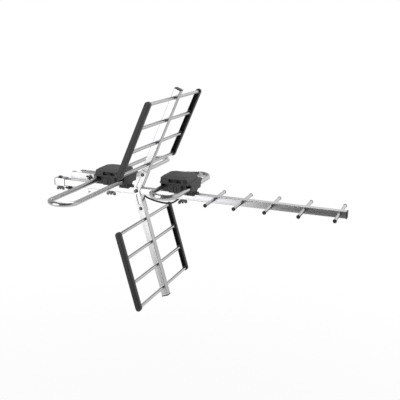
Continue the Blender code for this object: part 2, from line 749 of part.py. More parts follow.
def box_plan():
    """Plan of the base: the ends step back on both sides, where the tubes go in."""
    tongue, end = BOX_TONGUE_HALF, BOX_HALF_LENGTH
    corners = []
    for front, back, sign in ((0.0, 0.0005, -1), (0.0010, 0.0015, 1)):
        half = [(-BOX_HALF_DEPTH, BOX_SHOULDER - back, 0.003),
                (-tongue - 0.003, BOX_SHOULDER - back, 0.0015), (-tongue, end, 0.002),
                (tongue, end, 0.002), (tongue + 0.003, BOX_SHOULDER - front, 0.0015),
                (BOX_HALF_DEPTH, BOX_SHOULDER - front, 0.003)]
        corners += [(-sign * x, sign * y, r) for x, y, r in half]
    return corners


def drafted(mesh, split, floor):
    """Draw the lower edge in by the draft, as a moulding leaves its tool."""
    for v in mesh.vertices:
        if v.co.z < (split + floor) / 2:
            v.co.x -= BOX_SIDE_DRAFT * (1 if v.co.x > 0 else -1)
            v.co.y -= BOX_DRAFT * (1 if v.co.y > 0 else -1)


def limb_notches(spacing, low, high, reach):
    """Slots that let the loop's two limbs drop into the base from above."""
    half = LOOP_RADIUS + GAP
    tools = []
    for x in (-spacing / 2, spacing / 2):
        round_end = [Vector((x + half * cos(turn), low + half * sin(turn)))
                     for turn in (pi + pi * k / 6 for k in range(7))]
        outline = round_end + [Vector((x + half, high)), Vector((x - half, high))]
        tools.append(plate_mesh([outline], -reach, reach, "Y"))
    return tools


def build_box(word, x, spacing, bolt_offset):
    axis = bpy.data.objects.new(f"{word}_box_axis", None)
    axis.parent = frame
    axis.location = (x, 0, 0)
    parts.objects.link(axis)
    build_box_base(word, axis, spacing)
    build_box_lid(word, axis)
    build_board(word, axis, spacing)
    floor_top = BOX_FLOOR + BOX_WALL
    length = floor_top + BOOM_FACE + 2 * GAP + NUT_HEIGHT + THREAD_PAST_NUT
    add_bolt(f"{word}_box_bolt", length, location=(x + bolt_offset, 0, floor_top + GAP),
             rotation=(pi, 0, 0))


def build_box_base(word, axis, spacing):
    plan = rounded_outline(box_plan(), 2)
    body = plate_mesh([plan], BOX_FLOOR, BOX_SPLIT, "Z")
    drafted(body, BOX_SPLIT, BOX_FLOOR)
    base = add_part(f"{word}_box_base", body, BLACK_PLASTIC, axis)
    foot_half = BOOM_FACE + FOOT_CHEEK
    depth, wall = BOX_HALF_DEPTH, BOX_WALL
    reach = BOX_HALF_LENGTH + 0.002
    rises = [box_mesh((BOX_TONGUE_HALF + 0.001, min(low, high), BOX_FLOOR - 0.001),
                      (depth + 0.002, max(low, high), BOX_FRONT_FLOOR))
             for low, high in ((-reach, -foot_half), (foot_half, reach))]
    boolean(base, join_meshes(rises))
    low, knee = BOOM_HALF - FOOT_LIP, (BOOM_HALF + BOX_FLOOR) / 2
    waist = FOOT_REAR + FOOT_WAIST
    side = rounded_outline([(FOOT_REAR, low, 0.001), (FOOT_FRONT, low, 0.001),
                            (FOOT_FRONT - 0.0012, BOX_FLOOR + 0.001, 0),
                            (waist - 0.002, BOX_FLOOR + 0.001, 0), (waist, knee, 0.003),
                            (FOOT_REAR, low + 0.0025, 0.001)], 2)
    boolean(base, plate_mesh([side], -foot_half, foot_half, "Y"), "UNION")
    rib_start = waist + 0.003
    rib_step = (FOOT_FRONT - 0.004 - rib_start) / 2
    ribs = [box_mesh((rib_start + k * rib_step - END_RIB_WIDTH / 2, side * foot_half - END_RIB, low),
                     (rib_start + k * rib_step + END_RIB_WIDTH / 2, side * foot_half + END_RIB,
                      BOX_FRONT_FLOOR + 0.0005)) for k in range(3) for side in (-1, 1)]
    boolean(base, join_meshes(ribs), "UNION")
    toe = box_mesh((FOOT_FRONT - 0.004, -BOOM_HALF + 0.001, BOOM_FACE),
                   (FOOT_FRONT + TOE_LENGTH, BOOM_HALF - 0.001, BOOM_FACE + TOE_HEIGHT))
    boolean(base, toe, "UNION")
    bosses = [cylinder_mesh(BOSS_RADIUS, BOOM_FACE, BOX_FLOOR + 0.001, (offset, 0, 0), "Z", 12)
              for offset in BOX_BOLT_OFFSETS]
    sockets = [cylinder_mesh(SOCKET_RADIUS, BOX_FLOOR - SOCKET_LENGTH, BOX_FLOOR + 0.001,
                             (SOCKET_X, side * SOCKET_Y, 0), "Z", 12) for side in (-1, 1)]
    boolean(base, join_meshes(bosses + sockets), "UNION")
    ribs = [box_mesh((x - END_RIB_WIDTH / 2, min(side * (BOX_HALF_LENGTH - 0.004), side * (BOX_HALF_LENGTH + END_RIB)),
                      BOX_FLOOR + 0.003),
                     (x + END_RIB_WIDTH / 2, max(side * (BOX_HALF_LENGTH - 0.004), side * (BOX_HALF_LENGTH + END_RIB)),
                      BOX_SPLIT - 0.004)) for x in (-0.004, 0.004) for side in (-1, 1)]
    boolean(base, join_meshes(ribs), "UNION")
    inner_end = BOX_SHOULDER - BOX_DRAFT - wall
    inner_side = depth - BOX_SIDE_DRAFT - BOX_SIDE_WALL
    step = BOX_TONGUE_HALF - 0.001
    boolean(base, box_mesh((-inner_side, -inner_end, BOX_FLOOR + wall),
                           (step, inner_end, BOX_SPLIT + 0.001)))
    boolean(base, box_mesh((step - 0.001, -inner_end, BOX_FRONT_FLOOR + wall),
                           (inner_side, inner_end, BOX_SPLIT + 0.001)))
    tools = limb_notches(spacing, LOOP_HEIGHT, BOX_SPLIT + 0.001, reach)
    boolean(base, join_meshes(tools))
    holes = [box_mesh((FOOT_REAR - 0.001, -BOOM_FACE, -BOOM_HALF),
                      (FOOT_FRONT + 0.001, BOOM_FACE, BOOM_FACE))]
    holes += [cylinder_mesh(BOLT_RADIUS + GAP, BOOM_HALF - 0.001, BOX_SPLIT, (offset, 0, 0),
                            "Z", 12) for offset in BOX_BOLT_OFFSETS]
    holes += [cylinder_mesh(CORE_RADIUS, BOX_FLOOR - SOCKET_LENGTH - 0.001, BOX_SPLIT,
                            (SOCKET_X, side * SOCKET_Y, 0), "Z", 8) for side in (-1, 1)]
    boolean(base, join_meshes(holes))


def tiered_mesh(levels):
    """Loft of eight-sided rings: height, rear, front, half length and cut of the corners."""
    bm = bmesh.new()
    rings = []
    for z, rear, front, half, cut in levels:
        plan = ((rear + cut, -half), (front - cut, -half), (front, -half + cut),
                (front, half - cut), (front - cut, half), (rear + cut, half),
                (rear, half - cut), (rear, -half + cut))
        rings.append([bm.verts.new((x, y, z)) for x, y in plan])
    for low, high in zip(rings, rings[1:]):
        for k in range(8):
            bm.faces.new((low[k], low[k - 7], high[k - 7], high[k]))
    bm.faces.new(rings[0][::-1])
    bm.faces.new(rings[-1])
    return mesh_from(bm)


def build_box_lid(word, axis):
    """A raised cover that slopes to both ends, over a lower shelf at the front."""
    bottom = BOX_SPLIT + GAP
    depth, end, crest, wall = BOX_HALF_DEPTH, BOX_HALF_LENGTH, LID_CREST, BOX_WALL
    shelf = [(bottom, -depth, depth, end, SHELF_CORNER),
             (LID_SHELF - 0.001, -depth, depth, end, SHELF_CORNER),
             (LID_SHELF, -depth + 0.001, depth - 0.001, end - 0.001, SHELF_CORNER)]
    lid = add_part(f"{word}_box_lid", tiered_mesh(shelf), BLACK_PLASTIC, axis)
    raised = [(LID_SHELF - 0.002, -depth + 0.0004, crest + 0.0075, end - 0.0006, LID_CORNER),
              (LID_SHOULDER, -depth + 0.0008, crest + 0.0030, end - 0.0012, LID_CORNER),
              (LID_SHOULDER + 0.001, -depth + 0.0018, crest + 0.0022, end - 0.0022, LID_CORNER),
              (BOX_TOP - 0.0006, -depth + 0.0040, crest + 0.0004, end - LID_SLOPE, LID_CORNER),
              (BOX_TOP, -depth + 0.0052, crest - 0.0006, end - LID_SLOPE - 0.0012, LID_CORNER)]
    boolean(lid, tiered_mesh(raised), "UNION")
    low = CATCH_FLOOR - 2 * wall / 3
    inner = end - CATCH_DEPTH - wall
    rear, front = -depth + 1.3 * wall, crest + 0.0004
    boolean(lid, tiered_mesh([(bottom - 0.001, -depth + wall, depth - wall, end - wall, SHELF_CORNER),
                              (low, -depth + wall, depth - wall, end - wall, SHELF_CORNER)]))
    boolean(lid, tiered_mesh([(low - 0.001, rear, front, inner, LID_CORNER),
                              (LID_SHOULDER - LID_ROOF / 2, rear, front, inner, LID_CORNER),
                              (BOX_TOP - LID_ROOF, rear + wall, front - wall,
                               end - LID_SLOPE - wall, LID_CORNER)]))
    catches = [box_mesh((-CATCH_HALF, min(side * (end + 0.001), side * (end - CATCH_DEPTH)), CATCH_FLOOR),
                        (CATCH_HALF, max(side * (end + 0.001), side * (end - CATCH_DEPTH)), CATCH_ROOF))
               for side in (-1, 1)]
    boolean(lid, join_meshes(catches))


def build_board(word, axis, spacing):
    """The matching board on the box's floor, with terminals beside the feed gap."""
    low = BOX_FLOOR + BOX_WALL + 0.0055
    inner = -spacing / 2 + LOOP_RADIUS + 0.0012
    outer = BOX_TONGUE_HALF - 0.0035
    board = add_part(f"{word}_matching_board",
                     box_mesh((inner, -0.034, low), (outer, 0.034, low + BOARD_THICKNESS)),
                     BOARD_GREEN, axis)
    feet = [box_mesh((px - 0.002, py - 0.003, BOX_FLOOR + BOX_WALL + GAP),
                     (px + 0.002, py + 0.003, low + 0.0005))
            for px in (inner + 0.006, outer - 0.006) for py in (-0.029, 0.029)]
    boolean(board, join_meshes(feet), "UNION")
    clear = [cylinder_mesh(HEX_ACROSS / 2 / cos(pi / 6) + 0.001, low - 0.001,
                           low + BOARD_THICKNESS + 0.001, (offset, 0, 0), "Z", 12)
             for offset in BOX_BOLT_OFFSETS]
    boolean(board, join_meshes(clear))
    tabs = [box_mesh((inner - 0.0005, sign * 0.0065 - 0.0035, low + 0.0004),
                     (inner + 0.007, sign * 0.0065 + 0.0035, low + 0.005)) for sign in (-1, 1)]
    boolean(board, join_meshes(tabs), "UNION")


# Mast clamp

def jaw_teeth():
    """Outline of the toothed V that is cut from a jaw's flanges, open towards the mast.

    x runs across the mast and y from the web towards the mast's axis."""
    start = MAST_RADIUS * cos(JAW_HALF_ANGLE)
    contact_depth = MAST_RADIUS * (1 - sin(JAW_HALF_ANGLE)) + MAST_CLEAR
    slope = tan(JAW_HALF_ANGLE)
    floor_x = start - contact_depth * slope
    edge_x = start + (JAW_DEPTH - contact_depth) * slope
    run = hypot(edge_x - floor_x, JAW_DEPTH)
    count = max(2, int(run / TOOTH_PITCH))
    along = Vector(((edge_x - floor_x) / run, JAW_DEPTH / run))
    out = Vector((along.y, -along.x))
    side = []
    for k in range(count):
        base = Vector((floor_x, 0)) + along * run * k / count
        tip = Vector((floor_x, 0)) + along * run * (k + 0.5) / count
        side.append(base + out * TOOTH_DEPTH)
        side.append(tip)
    side.append(Vector((edge_x, JAW_DEPTH)) + out * TOOTH_DEPTH)
    side.append(side[-1] + Vector((0, 0.004)))
    return side + [Vector((-p.x, p.y)) for p in reversed(side)]


def clamp_halves(width):
    """The skewed plate: the upper half sits forward, the lower half rearward."""
    half = width / 2
    return ((-half + CLAMP_SKEW, half + CLAMP_SKEW, 1), (-half - CLAMP_SKEW, half - CLAMP_SKEW, -1))


def add_jaw(name, web_near, web_far, towards, width, half_height, extra=None):
    """A pressed jaw: a web against the boom or behind the mast, and two toothed flanges."""
    low, high = min(web_near, web_far), max(web_near, web_far)
    corners = []
    (ul, uh, _), (ll, lh, _) = clamp_halves(width)
    h = half_height
    step = BOOM_FACE + 0.004
    corners = [(ll, -h, 0.003), (lh, -h, 0.003), (lh, -step, 0.002), (uh, step, 0.002),
               (uh, h, 0.003), (ul, h, 0.003), (ul, step, 0.002), (ll, -step, 0.002)]
    if extra:
        corners = extra(corners)
    jaw = add_part(name, plate_mesh([rounded_outline(corners, 2)], low, high, "Y"), ZINC)
    flanges = []
    root = (low + high) / 2
    edge = web_far + towards * JAW_DEPTH
    for lo, hi, sign in clamp_halves(width):
        inner, outer = sign * (h - CLAMP_SHEET), sign * h
        flanges.append(box_mesh((lo + 0.001, min(root, edge), min(inner, outer)),
                                (hi - 0.001, max(root, edge), max(inner, outer))))
    boolean(jaw, join_meshes(flanges), "UNION")
    teeth = [Vector((p.x, web_far + towards * (p.y + GAP))) for p in jaw_teeth()]
    if towards < 0:
        teeth.reverse()
    boolean(jaw, plate_mesh([teeth], -h - 0.001, h + 0.001, "Z"))
    holes = [cylinder_mesh(BOLT_RADIUS + GAP, low - 0.001, high + 0.001,
                           (sign * MAST_BOLT_X, 0, sign * MAST_BOLT_Z), "Y", 12)
             for sign in (1, -1)]
    boolean(jaw, join_meshes(holes))
    return jaw


def with_tongues(corners):
    """Adds tongues at the boom's height, and a step that leaves room for the saddle."""
    (ll, low, r), lh, uh, ul = corners[0], corners[1][0], corners[4][0], corners[5][0]
    top, high = BOOM_HALF, corners[4][1]
    clear = SADDLE_FRONT + 2 * GAP
    under = -(BOOM_FACE + SADDLE_SHEET + GAP)
    return [(ll, low, r), (lh, low, r), (lh, -top, 0.0015), (TONGUE_FRONT, -top, 0.0015),
            (TONGUE_FRONT, top, 0.0015), (uh, top, 0), (uh, high, r), (ul, high, r),
            (ul, top, 0.0015), (-TONGUE_REACH, top, 0.0015), (-TONGUE_REACH, -top, 0.0015),
            (clear, -top, 0), (clear, under, 0), (ll, under, 0.0015)]


def build_clamp():
    add_jaw("clamp_fixed_jaw", BOOM_FACE, WEB_FACE, 1, CLAMP_WIDTH, CLAMP_HALF_HEIGHT,
            with_tongues)
    back_face = 2 * MAST_OFFSET - WEB_FACE
    back_outer = back_face + CLAMP_SHEET
    add_jaw("clamp_back_jaw", back_outer, back_face, -1, BACK_JAW_WIDTH, BACK_JAW_HALF_HEIGHT)
    bolt_length = back_outer - BOOM_FACE + 2 * GAP + NUT_HEIGHT + THREAD_PAST_NUT
    for sign, word in ((1, "upper"), (-1, "lower")):
        add_bolt(f"mast_bolt_{word}", bolt_length,
                 location=(sign * MAST_BOLT_X, back_outer + GAP, sign * MAST_BOLT_Z),
                 rotation=(pi / 2, 0, 0))
    build_saddle()


def build_saddle():
    """A lipped channel slid over the boom's rear end and the jaw's tongue."""
    near = -BOOM_FACE - SADDLE_SHEET
    top = BOOM_FACE + SADDLE_SHEET
    back = WEB_FACE + GAP
    outer_back = back + SADDLE_SHEET
    outline = rounded_outline([
        (near, -top, 0.0012), (outer_back, -top, 0.0012), (outer_back, -BOOM_FACE + SADDLE_LIP, 0),
        (back, -BOOM_FACE + SADDLE_LIP, 0), (back, -BOOM_FACE, 0), (-BOOM_FACE, -BOOM_FACE, 0),
        (-BOOM_FACE, BOOM_FACE, 0), (back, BOOM_FACE, 0), (back, BOOM_FACE - SADDLE_LIP, 0),
        (outer_back, BOOM_FACE - SADDLE_LIP, 0), (outer_back, top, 0.0012), (near, top, 0.0012)], 2)
    saddle = add_part("boom_saddle", plate_mesh([outline], SADDLE_REAR, SADDLE_FRONT, "X"), ZINC)
    boolean(saddle, cylinder_mesh(BOLT_RADIUS + GAP, -top - 0.001, top + 0.001,
                                  (SADDLE_BOLT_X, 0, 0), "Z", 12))
    length = 2 * top + 2 * GAP + NUT_HEIGHT + THREAD_PAST_NUT
    add_bolt("saddle_bolt", length, location=(SADDLE_BOLT_X, 0, top + GAP),
             rotation=(pi, 0, 0))


def build_wing_nuts():
    below = -BOOM_FACE
    top = BOOM_FACE + SADDLE_SHEET
    add_wing_nut("vhf_box_wing_nut", (VHF_X + VHF_BOLT_OFFSET, 0, below), (pi, 0, radians(4)))
    add_wing_nut("uhf_box_wing_nut", (UHF_X + UHF_BOLT_OFFSET, 0, below), (pi, 0, radians(48)))
    add_wing_nut("saddle_wing_nut", (SADDLE_BOLT_X, 0, -top - GAP), (pi, 0, radians(8)),
                 SADDLE_WING_SPAN)
    near = BOOM_HALF
    add_wing_nut("mast_wing_nut_upper", (MAST_BOLT_X, near, MAST_BOLT_Z),
                 (pi / 2, radians(42), 0), MAST_WING_SPAN)
    add_wing_nut("mast_wing_nut_lower", (-MAST_BOLT_X, near, -MAST_BOLT_Z),
                 (pi / 2, radians(14), 0), MAST_WING_SPAN)


# Jumper lead

def lead_points():
    """The lead's route between its plugs, read from a smooth curve through chosen points."""
    inside = BOX_FLOOR - SOCKET_LENGTH - GAP - 0.7 * LEAD_PLUG_LENGTH
    start = Vector((VHF_X + SOCKET_X, SOCKET_Y, inside))
    end = Vector((UHF_X + SOCKET_X, SOCKET_Y, inside))
    # shares of the span, of the offset beside the boom and of the sag
    route = ((0.0, 1.26, 0.27), (0.04, 1.2, 0.47), (0.14, 1.12, 0.35), (0.27, 1.0, 0.29),
             (0.39, 0.97, 0.40), (0.50, 1.0, 0.72), (0.63, 1.03, 0.92), (0.76, 1.06, 1.0),
             (0.87, 1.12, 0.92), (0.955, 1.2, 0.56), (1.0, 1.26, 0.27))
    chosen = [Vector((start.x + (end.x - start.x) * t, LEAD_SIDE * side, -LEAD_DROP * low))
              for t, side, low in route]
    chosen = [start] + chosen + [end]
    points = []
    padded = [chosen[0] * 2 - chosen[1]] + chosen + [chosen[-1] * 2 - chosen[-2]]
    steps = 3
    for a, b, c, d in zip(padded, padded[1:], padded[2:], padded[3:]):
        for k in range(steps):
            t = k / steps
            points.append(0.5 * (2 * b + (c - a) * t + (2 * a - 5 * b + 4 * c - d) * t * t
                                 + (3 * b - a - 3 * c + d) * t ** 3))
    points.append(chosen[-1])
    return points


def build_lead():
    lead = add_part("jumper_lead", swept_mesh(lead_points(), LEAD_RADIUS, 2), BLACK_RUBBER)
    top = BOX_FLOOR - SOCKET_LENGTH - GAP
    for x in (VHF_X, UHF_X):
        plug = cylinder_mesh(LEAD_PLUG_RADIUS, top - LEAD_PLUG_LENGTH, top,
                             (x + SOCKET_X, SOCKET_Y, 0), "Z", 6)
        boolean(lead, plug, "UNION")


build_boom()
build_directors()
build_panel("upper", UPPER_ANGLE, UPPER_HALF_WIDTH, True)
build_panel("lower", LOWER_ANGLE, LOWER_HALF_WIDTH, False)
build_bracket()
build_loop("vhf_dipole_loop", VHF_X, VHF_SPACING, VHF_HALF_LENGTH, VHF_BEND_RATIO)
build_loop("uhf_dipole_loop", UHF_X, UHF_SPACING, UHF_HALF_LENGTH, UHF_BEND_RATIO)
build_box("vhf", VHF_X, VHF_SPACING, VHF_BOLT_OFFSET)
build_box("uhf", UHF_X, UHF_SPACING, UHF_BOLT_OFFSET)
build_clamp()
build_wing_nuts()
build_lead()
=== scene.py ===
from math import cos, pi, radians, sin

import bmesh
import bpy
import numpy as np
from mathutils import Matrix, Vector


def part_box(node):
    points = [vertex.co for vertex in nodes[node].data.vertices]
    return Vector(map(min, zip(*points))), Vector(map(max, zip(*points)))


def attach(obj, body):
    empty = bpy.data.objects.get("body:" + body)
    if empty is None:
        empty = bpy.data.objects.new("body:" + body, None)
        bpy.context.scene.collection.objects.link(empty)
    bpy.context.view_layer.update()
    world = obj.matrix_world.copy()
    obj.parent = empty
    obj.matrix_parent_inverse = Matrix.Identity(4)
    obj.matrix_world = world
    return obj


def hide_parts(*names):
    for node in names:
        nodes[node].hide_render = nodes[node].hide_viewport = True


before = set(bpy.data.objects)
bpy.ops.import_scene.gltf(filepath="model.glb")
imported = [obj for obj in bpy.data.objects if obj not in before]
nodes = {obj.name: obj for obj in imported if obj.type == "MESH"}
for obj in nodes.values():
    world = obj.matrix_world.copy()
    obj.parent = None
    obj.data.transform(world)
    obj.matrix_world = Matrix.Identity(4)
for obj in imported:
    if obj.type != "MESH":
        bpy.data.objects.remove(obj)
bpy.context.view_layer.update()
print("frame loaded:", len(nodes), "nodes")

boomY = -0.0389  # the boom's axis, in front of the mast's
antennaBody = "antenna"
# the reflector's panels lean from their apex on the boom by an angle in degrees, upwards or
# downwards; outer is half their width over the outer faces of the edge strips
apexX = 0.1856
panels = {"upper": {"angle": 68.5, "lift": 1, "outer": 0.1925},
          "lower": {"angle": 72.6, "lift": -1, "outer": 0.1830}}


def linked(name, data):
    thing = bpy.data.objects.new(name, data)
    bpy.context.scene.collection.objects.link(thing)
    return thing


def camelName(node):
    words = node.title().replace("_", "")
    return words[0].lower() + words[1:]


# Mesh helpers: every surface is a grid of points worked out as whole arrays

def gridPiece(name, points, wrapU, wrapV, uv=None):
    # points[i, j] becomes a quad grid; wrapU joins the last row to the first, wrapV the last column
    rows, cols = points.shape[:2]
    i = np.arange(rows if wrapU else rows - 1)
    j = np.arange(cols if wrapV else cols - 1)
    a, b = np.meshgrid(i, j, indexing="ij")
    a, b = a.ravel(), b.ravel()
    nextA, nextB = (a + 1) % rows, (b + 1) % cols
    quads = np.stack([a * cols + b, a * cols + nextB, nextA * cols + nextB, nextA * cols + b], 1)
    mesh = bpy.data.meshes.new(name)
    mesh.vertices.add(rows * cols)
    mesh.vertices.foreach_set("co", points.reshape(-1).astype(np.float32))
    mesh.loops.add(quads.size)
    mesh.loops.foreach_set("vertex_index", quads.ravel().astype(np.int32))
    mesh.polygons.add(len(quads))
    mesh.polygons.foreach_set("loop_start", np.arange(0, quads.size, 4, dtype=np.int32))
    mesh.update(calc_edges=True)
    if uv is not None:
        # uv is (rows + 1, cols + 1, 2), so that a wrapped seam gets its own far value
        corner = np.stack([uv[a, b], uv[a, b + 1], uv[a + 1, b + 1], uv[a + 1, b]], 1)
        layer = mesh.uv_layers.new(name="along")
        layer.data.foreach_set("uv", corner.reshape(-1).astype(np.float32))
    return finishMesh(name, mesh)


mergeDistances = {"grid": 0.0000005, "cad": 0.000005}


def finishMesh(name, mesh):
    # poles and doubled points are merged, and faces turned outwards, before it becomes a piece
    bm = bmesh.new()
    bm.from_mesh(mesh)
    bmesh.ops.remove_doubles(bm, verts=bm.verts, dist=mergeDistances["grid"])
    bmesh.ops.recalc_face_normals(bm, faces=bm.faces)
    bm.to_mesh(mesh)
    bm.free()
    mesh.validate()
    return linked(name, mesh)


def joined(name, shells):
    # several closed shells become one piece
    bm = bmesh.new()
    for shell in shells:
        bm.from_mesh(shell.data)
        bpy.data.objects.remove(shell, do_unlink=True)
    mesh = bpy.data.meshes.new(name)
    bm.to_mesh(mesh)
    bm.free()
    return linked(name, mesh)


def smooth(piece, degrees=35):
    piece.data.shade_smooth()
    piece.data.set_sharp_from_angle(angle=radians(degrees))
    return piece


def place(piece, node, material, body=antennaBody):
    # dresses a finished piece: what it rides on, what it stands for and its finish
    piece.data.materials.clear()
    piece.data.materials.append(material)
    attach(piece, body)
    if node:
        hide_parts(node)
    return piece


def axisFrame(direction):
    # the direction itself and two unit vectors across it
    d = np.array(direction, float)
    d /= np.linalg.norm(d)
    side = np.cross(d, (0.0, 0.0, 1.0)) if abs(d[2]) < 0.9 else np.cross(d, (0.0, 1.0, 0.0))
    side /= np.linalg.norm(side)
    return d, side, np.cross(d, side)


def ringAngles(sides):
    return np.linspace(0, 2 * pi, sides, endpoint=False)


def roundGrid(start, direction, run, radius):
    # P(u, v) = start + direction * run(v) + radius(u, v) * (side cos u + up sin u)
    d, side, up = axisFrame(direction)
    u = ringAngles(len(radius))[:, None]
    ring = np.cos(u) * side + np.sin(u) * up
    return np.array(start, float) + run[None, :, None] * d + radius[..., None] * ring[:, None]


def turned(name, profile, start, direction, sides, closedProfile=False):
    # a profile of (radius, distance along the axis), turned about that axis
    profile = np.array(profile, float)
    radius = np.broadcast_to(profile[:, 0], (sides, len(profile)))
    points = roundGrid(start, direction, profile[:, 1], radius)
    closed = np.vstack([profile, profile[:1]]) if closedProfile else profile
    run = np.concatenate([[0], np.cumsum(np.linalg.norm(np.diff(closed, axis=0), axis=1))])
    turn = np.linspace(0, 1, sides + 1)
    uv = np.stack(np.meshgrid(turn, run, indexing="ij"), 2)
    return gridPiece(name, points, True, closedProfile, uv)


def tubeProfile(radius, wall, length, lip=0.00025):
    # a hollow tube's wall as a closed profile of (radius, distance) with eased lips
    inner = radius - wall
    return [(radius, lip), (radius, length - lip), (radius - lip, length), (inner + lip, length),
            (inner, length - lip), (inner, lip), (inner + lip, 0.0), (radius - lip, 0.0)]


def easedOutline(corners, steps):
    # each corner (x, y, r) becomes the parabola (1-t)^2 A + 2t(1-t) C + t^2 B between its edges
    corners = np.array(corners, float)
    middle, radius = corners[:, :2], np.maximum(corners[:, 2:], 0.00005)
    before, after = np.roll(middle, 1, 0) - middle, np.roll(middle, -1, 0) - middle
    a = middle + before / np.linalg.norm(before, axis=1)[:, None] * radius
    b = middle + after / np.linalg.norm(after, axis=1)[:, None] * radius
    t = np.linspace(0, 1, steps)[None, :, None]
    curve = (1 - t) ** 2 * a[:, None] + 2 * t * (1 - t) * middle[:, None] + t * t * b[:, None]
    return curve.reshape(-1, 2)


def slab(name, outline, thickness, ease, origin, across, along):
    # P(u, v) = origin + across x(u, v) + along y(u, v) + normal h(v): a flat outline with round
    # edges, drawn in by ease at both faces and closed to its middle
    origin, across, along = (np.array(v, float) for v in (origin, across, along))
    normal = np.cross(across, along)
    tangent = np.roll(outline, -1, 0) - np.roll(outline, 1, 0)
    tangent /= np.linalg.norm(tangent, axis=1)[:, None]
    inward = np.stack([-tangent[:, 1], tangent[:, 0]], 1)
    arc = np.linspace(0, pi / 2, 4)
    drawn = np.concatenate([1 - np.sin(arc), (1 - np.sin(arc))[::-1]]) * ease
    half = thickness / 2 - ease
    height = np.concatenate([-half - ease * np.cos(arc), (half + ease * np.cos(arc))[::-1]])
    flat = outline[:, None] + inward[:, None] * drawn[None, :, None]
    middle = np.broadcast_to(outline.mean(0), (len(outline), 1, 2))
    flat = np.concatenate([middle, flat, middle], axis=1)
    height = np.concatenate([height[:1], height, height[-1:]])
    points = (origin + flat[..., :1] * across + flat[..., 1:] * along
              + height[None, :, None] * normal)
    return gridPiece(name, points, True, False)


softening = {"flatWithin": 2, "sharpFrom": 32, "shortest": 0.0028, "shadeSharpFrom": 30,
             "flatWeight": 90}


def softened(node, name, width, segments=2, carve=None):
    # a merged copy of a CAD node with its flat faces joined up and its longer edges eased
    mesh = nodes[node].data.copy()
    mesh.materials.clear()
    bm = bmesh.new()
    bm.from_mesh(mesh)
    bmesh.ops.remove_doubles(bm, verts=bm.verts, dist=mergeDistances["cad"])
    bmesh.ops.dissolve_limit(bm, angle_limit=radians(softening["flatWithin"]), verts=bm.verts,
                             edges=bm.edges, delimit={'NORMAL'})
    if carve:
        carve(bm)
    weight = bm.edges.layers.float.new("bevel_weight_edge")
    sharpFrom = radians(softening["sharpFrom"])
    for edge in bm.edges:
        if (edge.is_manifold and edge.calc_face_angle() > sharpFrom
                and edge.calc_length() > softening["shortest"]):
            edge[weight] = 1.0
    bm.to_mesh(mesh)
    bm.free()
    mesh.name = name
    piece = linked(name, mesh)
    bevel = piece.modifiers.new("easedEdges", 'BEVEL')
    bevel.width = width
    bevel.segments = segments
    bevel.limit_method = 'WEIGHT'
    bevel.use_clamp_overlap = True
    smooth(piece, softening["shadeSharpFrom"])
    flats = piece.modifiers.new("flatFaces", 'WEIGHTED_NORMAL')
    flats.weight = softening["flatWeight"]
    flats.keep_sharp = True
    return piece


# Finishes

def feed(tree, socket, value):
    # a plain value sits on the socket itself, and another node's output is linked to it
    if isinstance(value, (int, float)):
        socket.default_value = value
    else:
        tree.links.new(value, socket)


def maths(tree, operation, first, second):
    node = tree.nodes.new("ShaderNodeMath")
    node.operation = operation
    feed(tree, node.inputs[0], first)
    feed(tree, node.inputs[1], second)
    return node.outputs[0]


def mapRange(tree, value, start, end, low=0.0, high=1.0, kind='LINEAR'):
    node = tree.nodes.new("ShaderNodeMapRange")
    node.interpolation_type = kind
    for label, given in (("Value", value), ("From Min", start), ("From Max", end),
                         ("To Min", low), ("To Max", high)):
        feed(tree, node.inputs[label], given)
    return node.outputs["Result"]


def noise(tree, vector, scale, detail, roughness=0.5):
    node = tree.nodes.new("ShaderNodeTexNoise")
    for label, given in (("Vector", vector), ("Scale", scale), ("Detail", detail),
                         ("Roughness", roughness)):
        feed(tree, node.inputs[label], given)
    return node.outputs["Fac"]


def makeGroup(name, inputs, outputs):
    group = bpy.data.node_groups.new(name, 'ShaderNodeTree')
    for label, kind, default in inputs:
        socket = group.interface.new_socket(name=label, in_out='INPUT', socket_type=kind)
        socket.default_value = default
    for label, kind in outputs:
        group.interface.new_socket(name=label, in_out='OUTPUT', socket_type=kind)
    return group, group.nodes.new("NodeGroupInput"), group.nodes.new("NodeGroupOutput")


# a noise's scale, detail and roughness, and the values of a noise or of Pointiness between
# which a pattern goes from none to full
grainShape = {"fine": (1.0, 4.0, 0.6), "broad": (0.11, 2.0), "spread": (0.3, 0.7)}
rubShape = {"rim": (0.52, 0.62), "noise": (160.0, 5.0), "patches": (0.40, 0.62)}


def grainGroup():
    # fine streaks or grain: a noise stretched by Stretch, split into tone, roughness and height
    group, inside, out = makeGroup(
        "surfaceGrain",
        [("Vector", 'NodeSocketVector', (0, 0, 0)), ("Stretch", 'NodeSocketVector', (1, 1, 1)),
         ("Tone Low", 'NodeSocketFloat', 0.9), ("Tone High", 'NodeSocketFloat', 1.0),
         ("Rough Low", 'NodeSocketFloat', 0.25), ("Rough High", 'NodeSocketFloat', 0.4)],
        [("Tone", 'NodeSocketFloat'), ("Roughness", 'NodeSocketFloat'),
         ("Height", 'NodeSocketFloat')])
    stretch = group.nodes.new("ShaderNodeVectorMath")
    stretch.operation = 'MULTIPLY'
    feed(group, stretch.inputs[0], inside.outputs["Vector"])
    feed(group, stretch.inputs[1], inside.outputs["Stretch"])
    fine = noise(group, stretch.outputs[0], *grainShape["fine"])
    broad = noise(group, stretch.outputs[0], *grainShape["broad"])
    for source, low, high, target in ((fine, "Tone Low", "Tone High", "Tone"),
                                      (broad, "Rough Low", "Rough High", "Roughness")):
        spread = mapRange(group, source, *grainShape["spread"], inside.outputs[low],
                          inside.outputs[high])
        feed(group, out.inputs[target], spread)
    feed(group, out.inputs["Height"], fine)
    return group


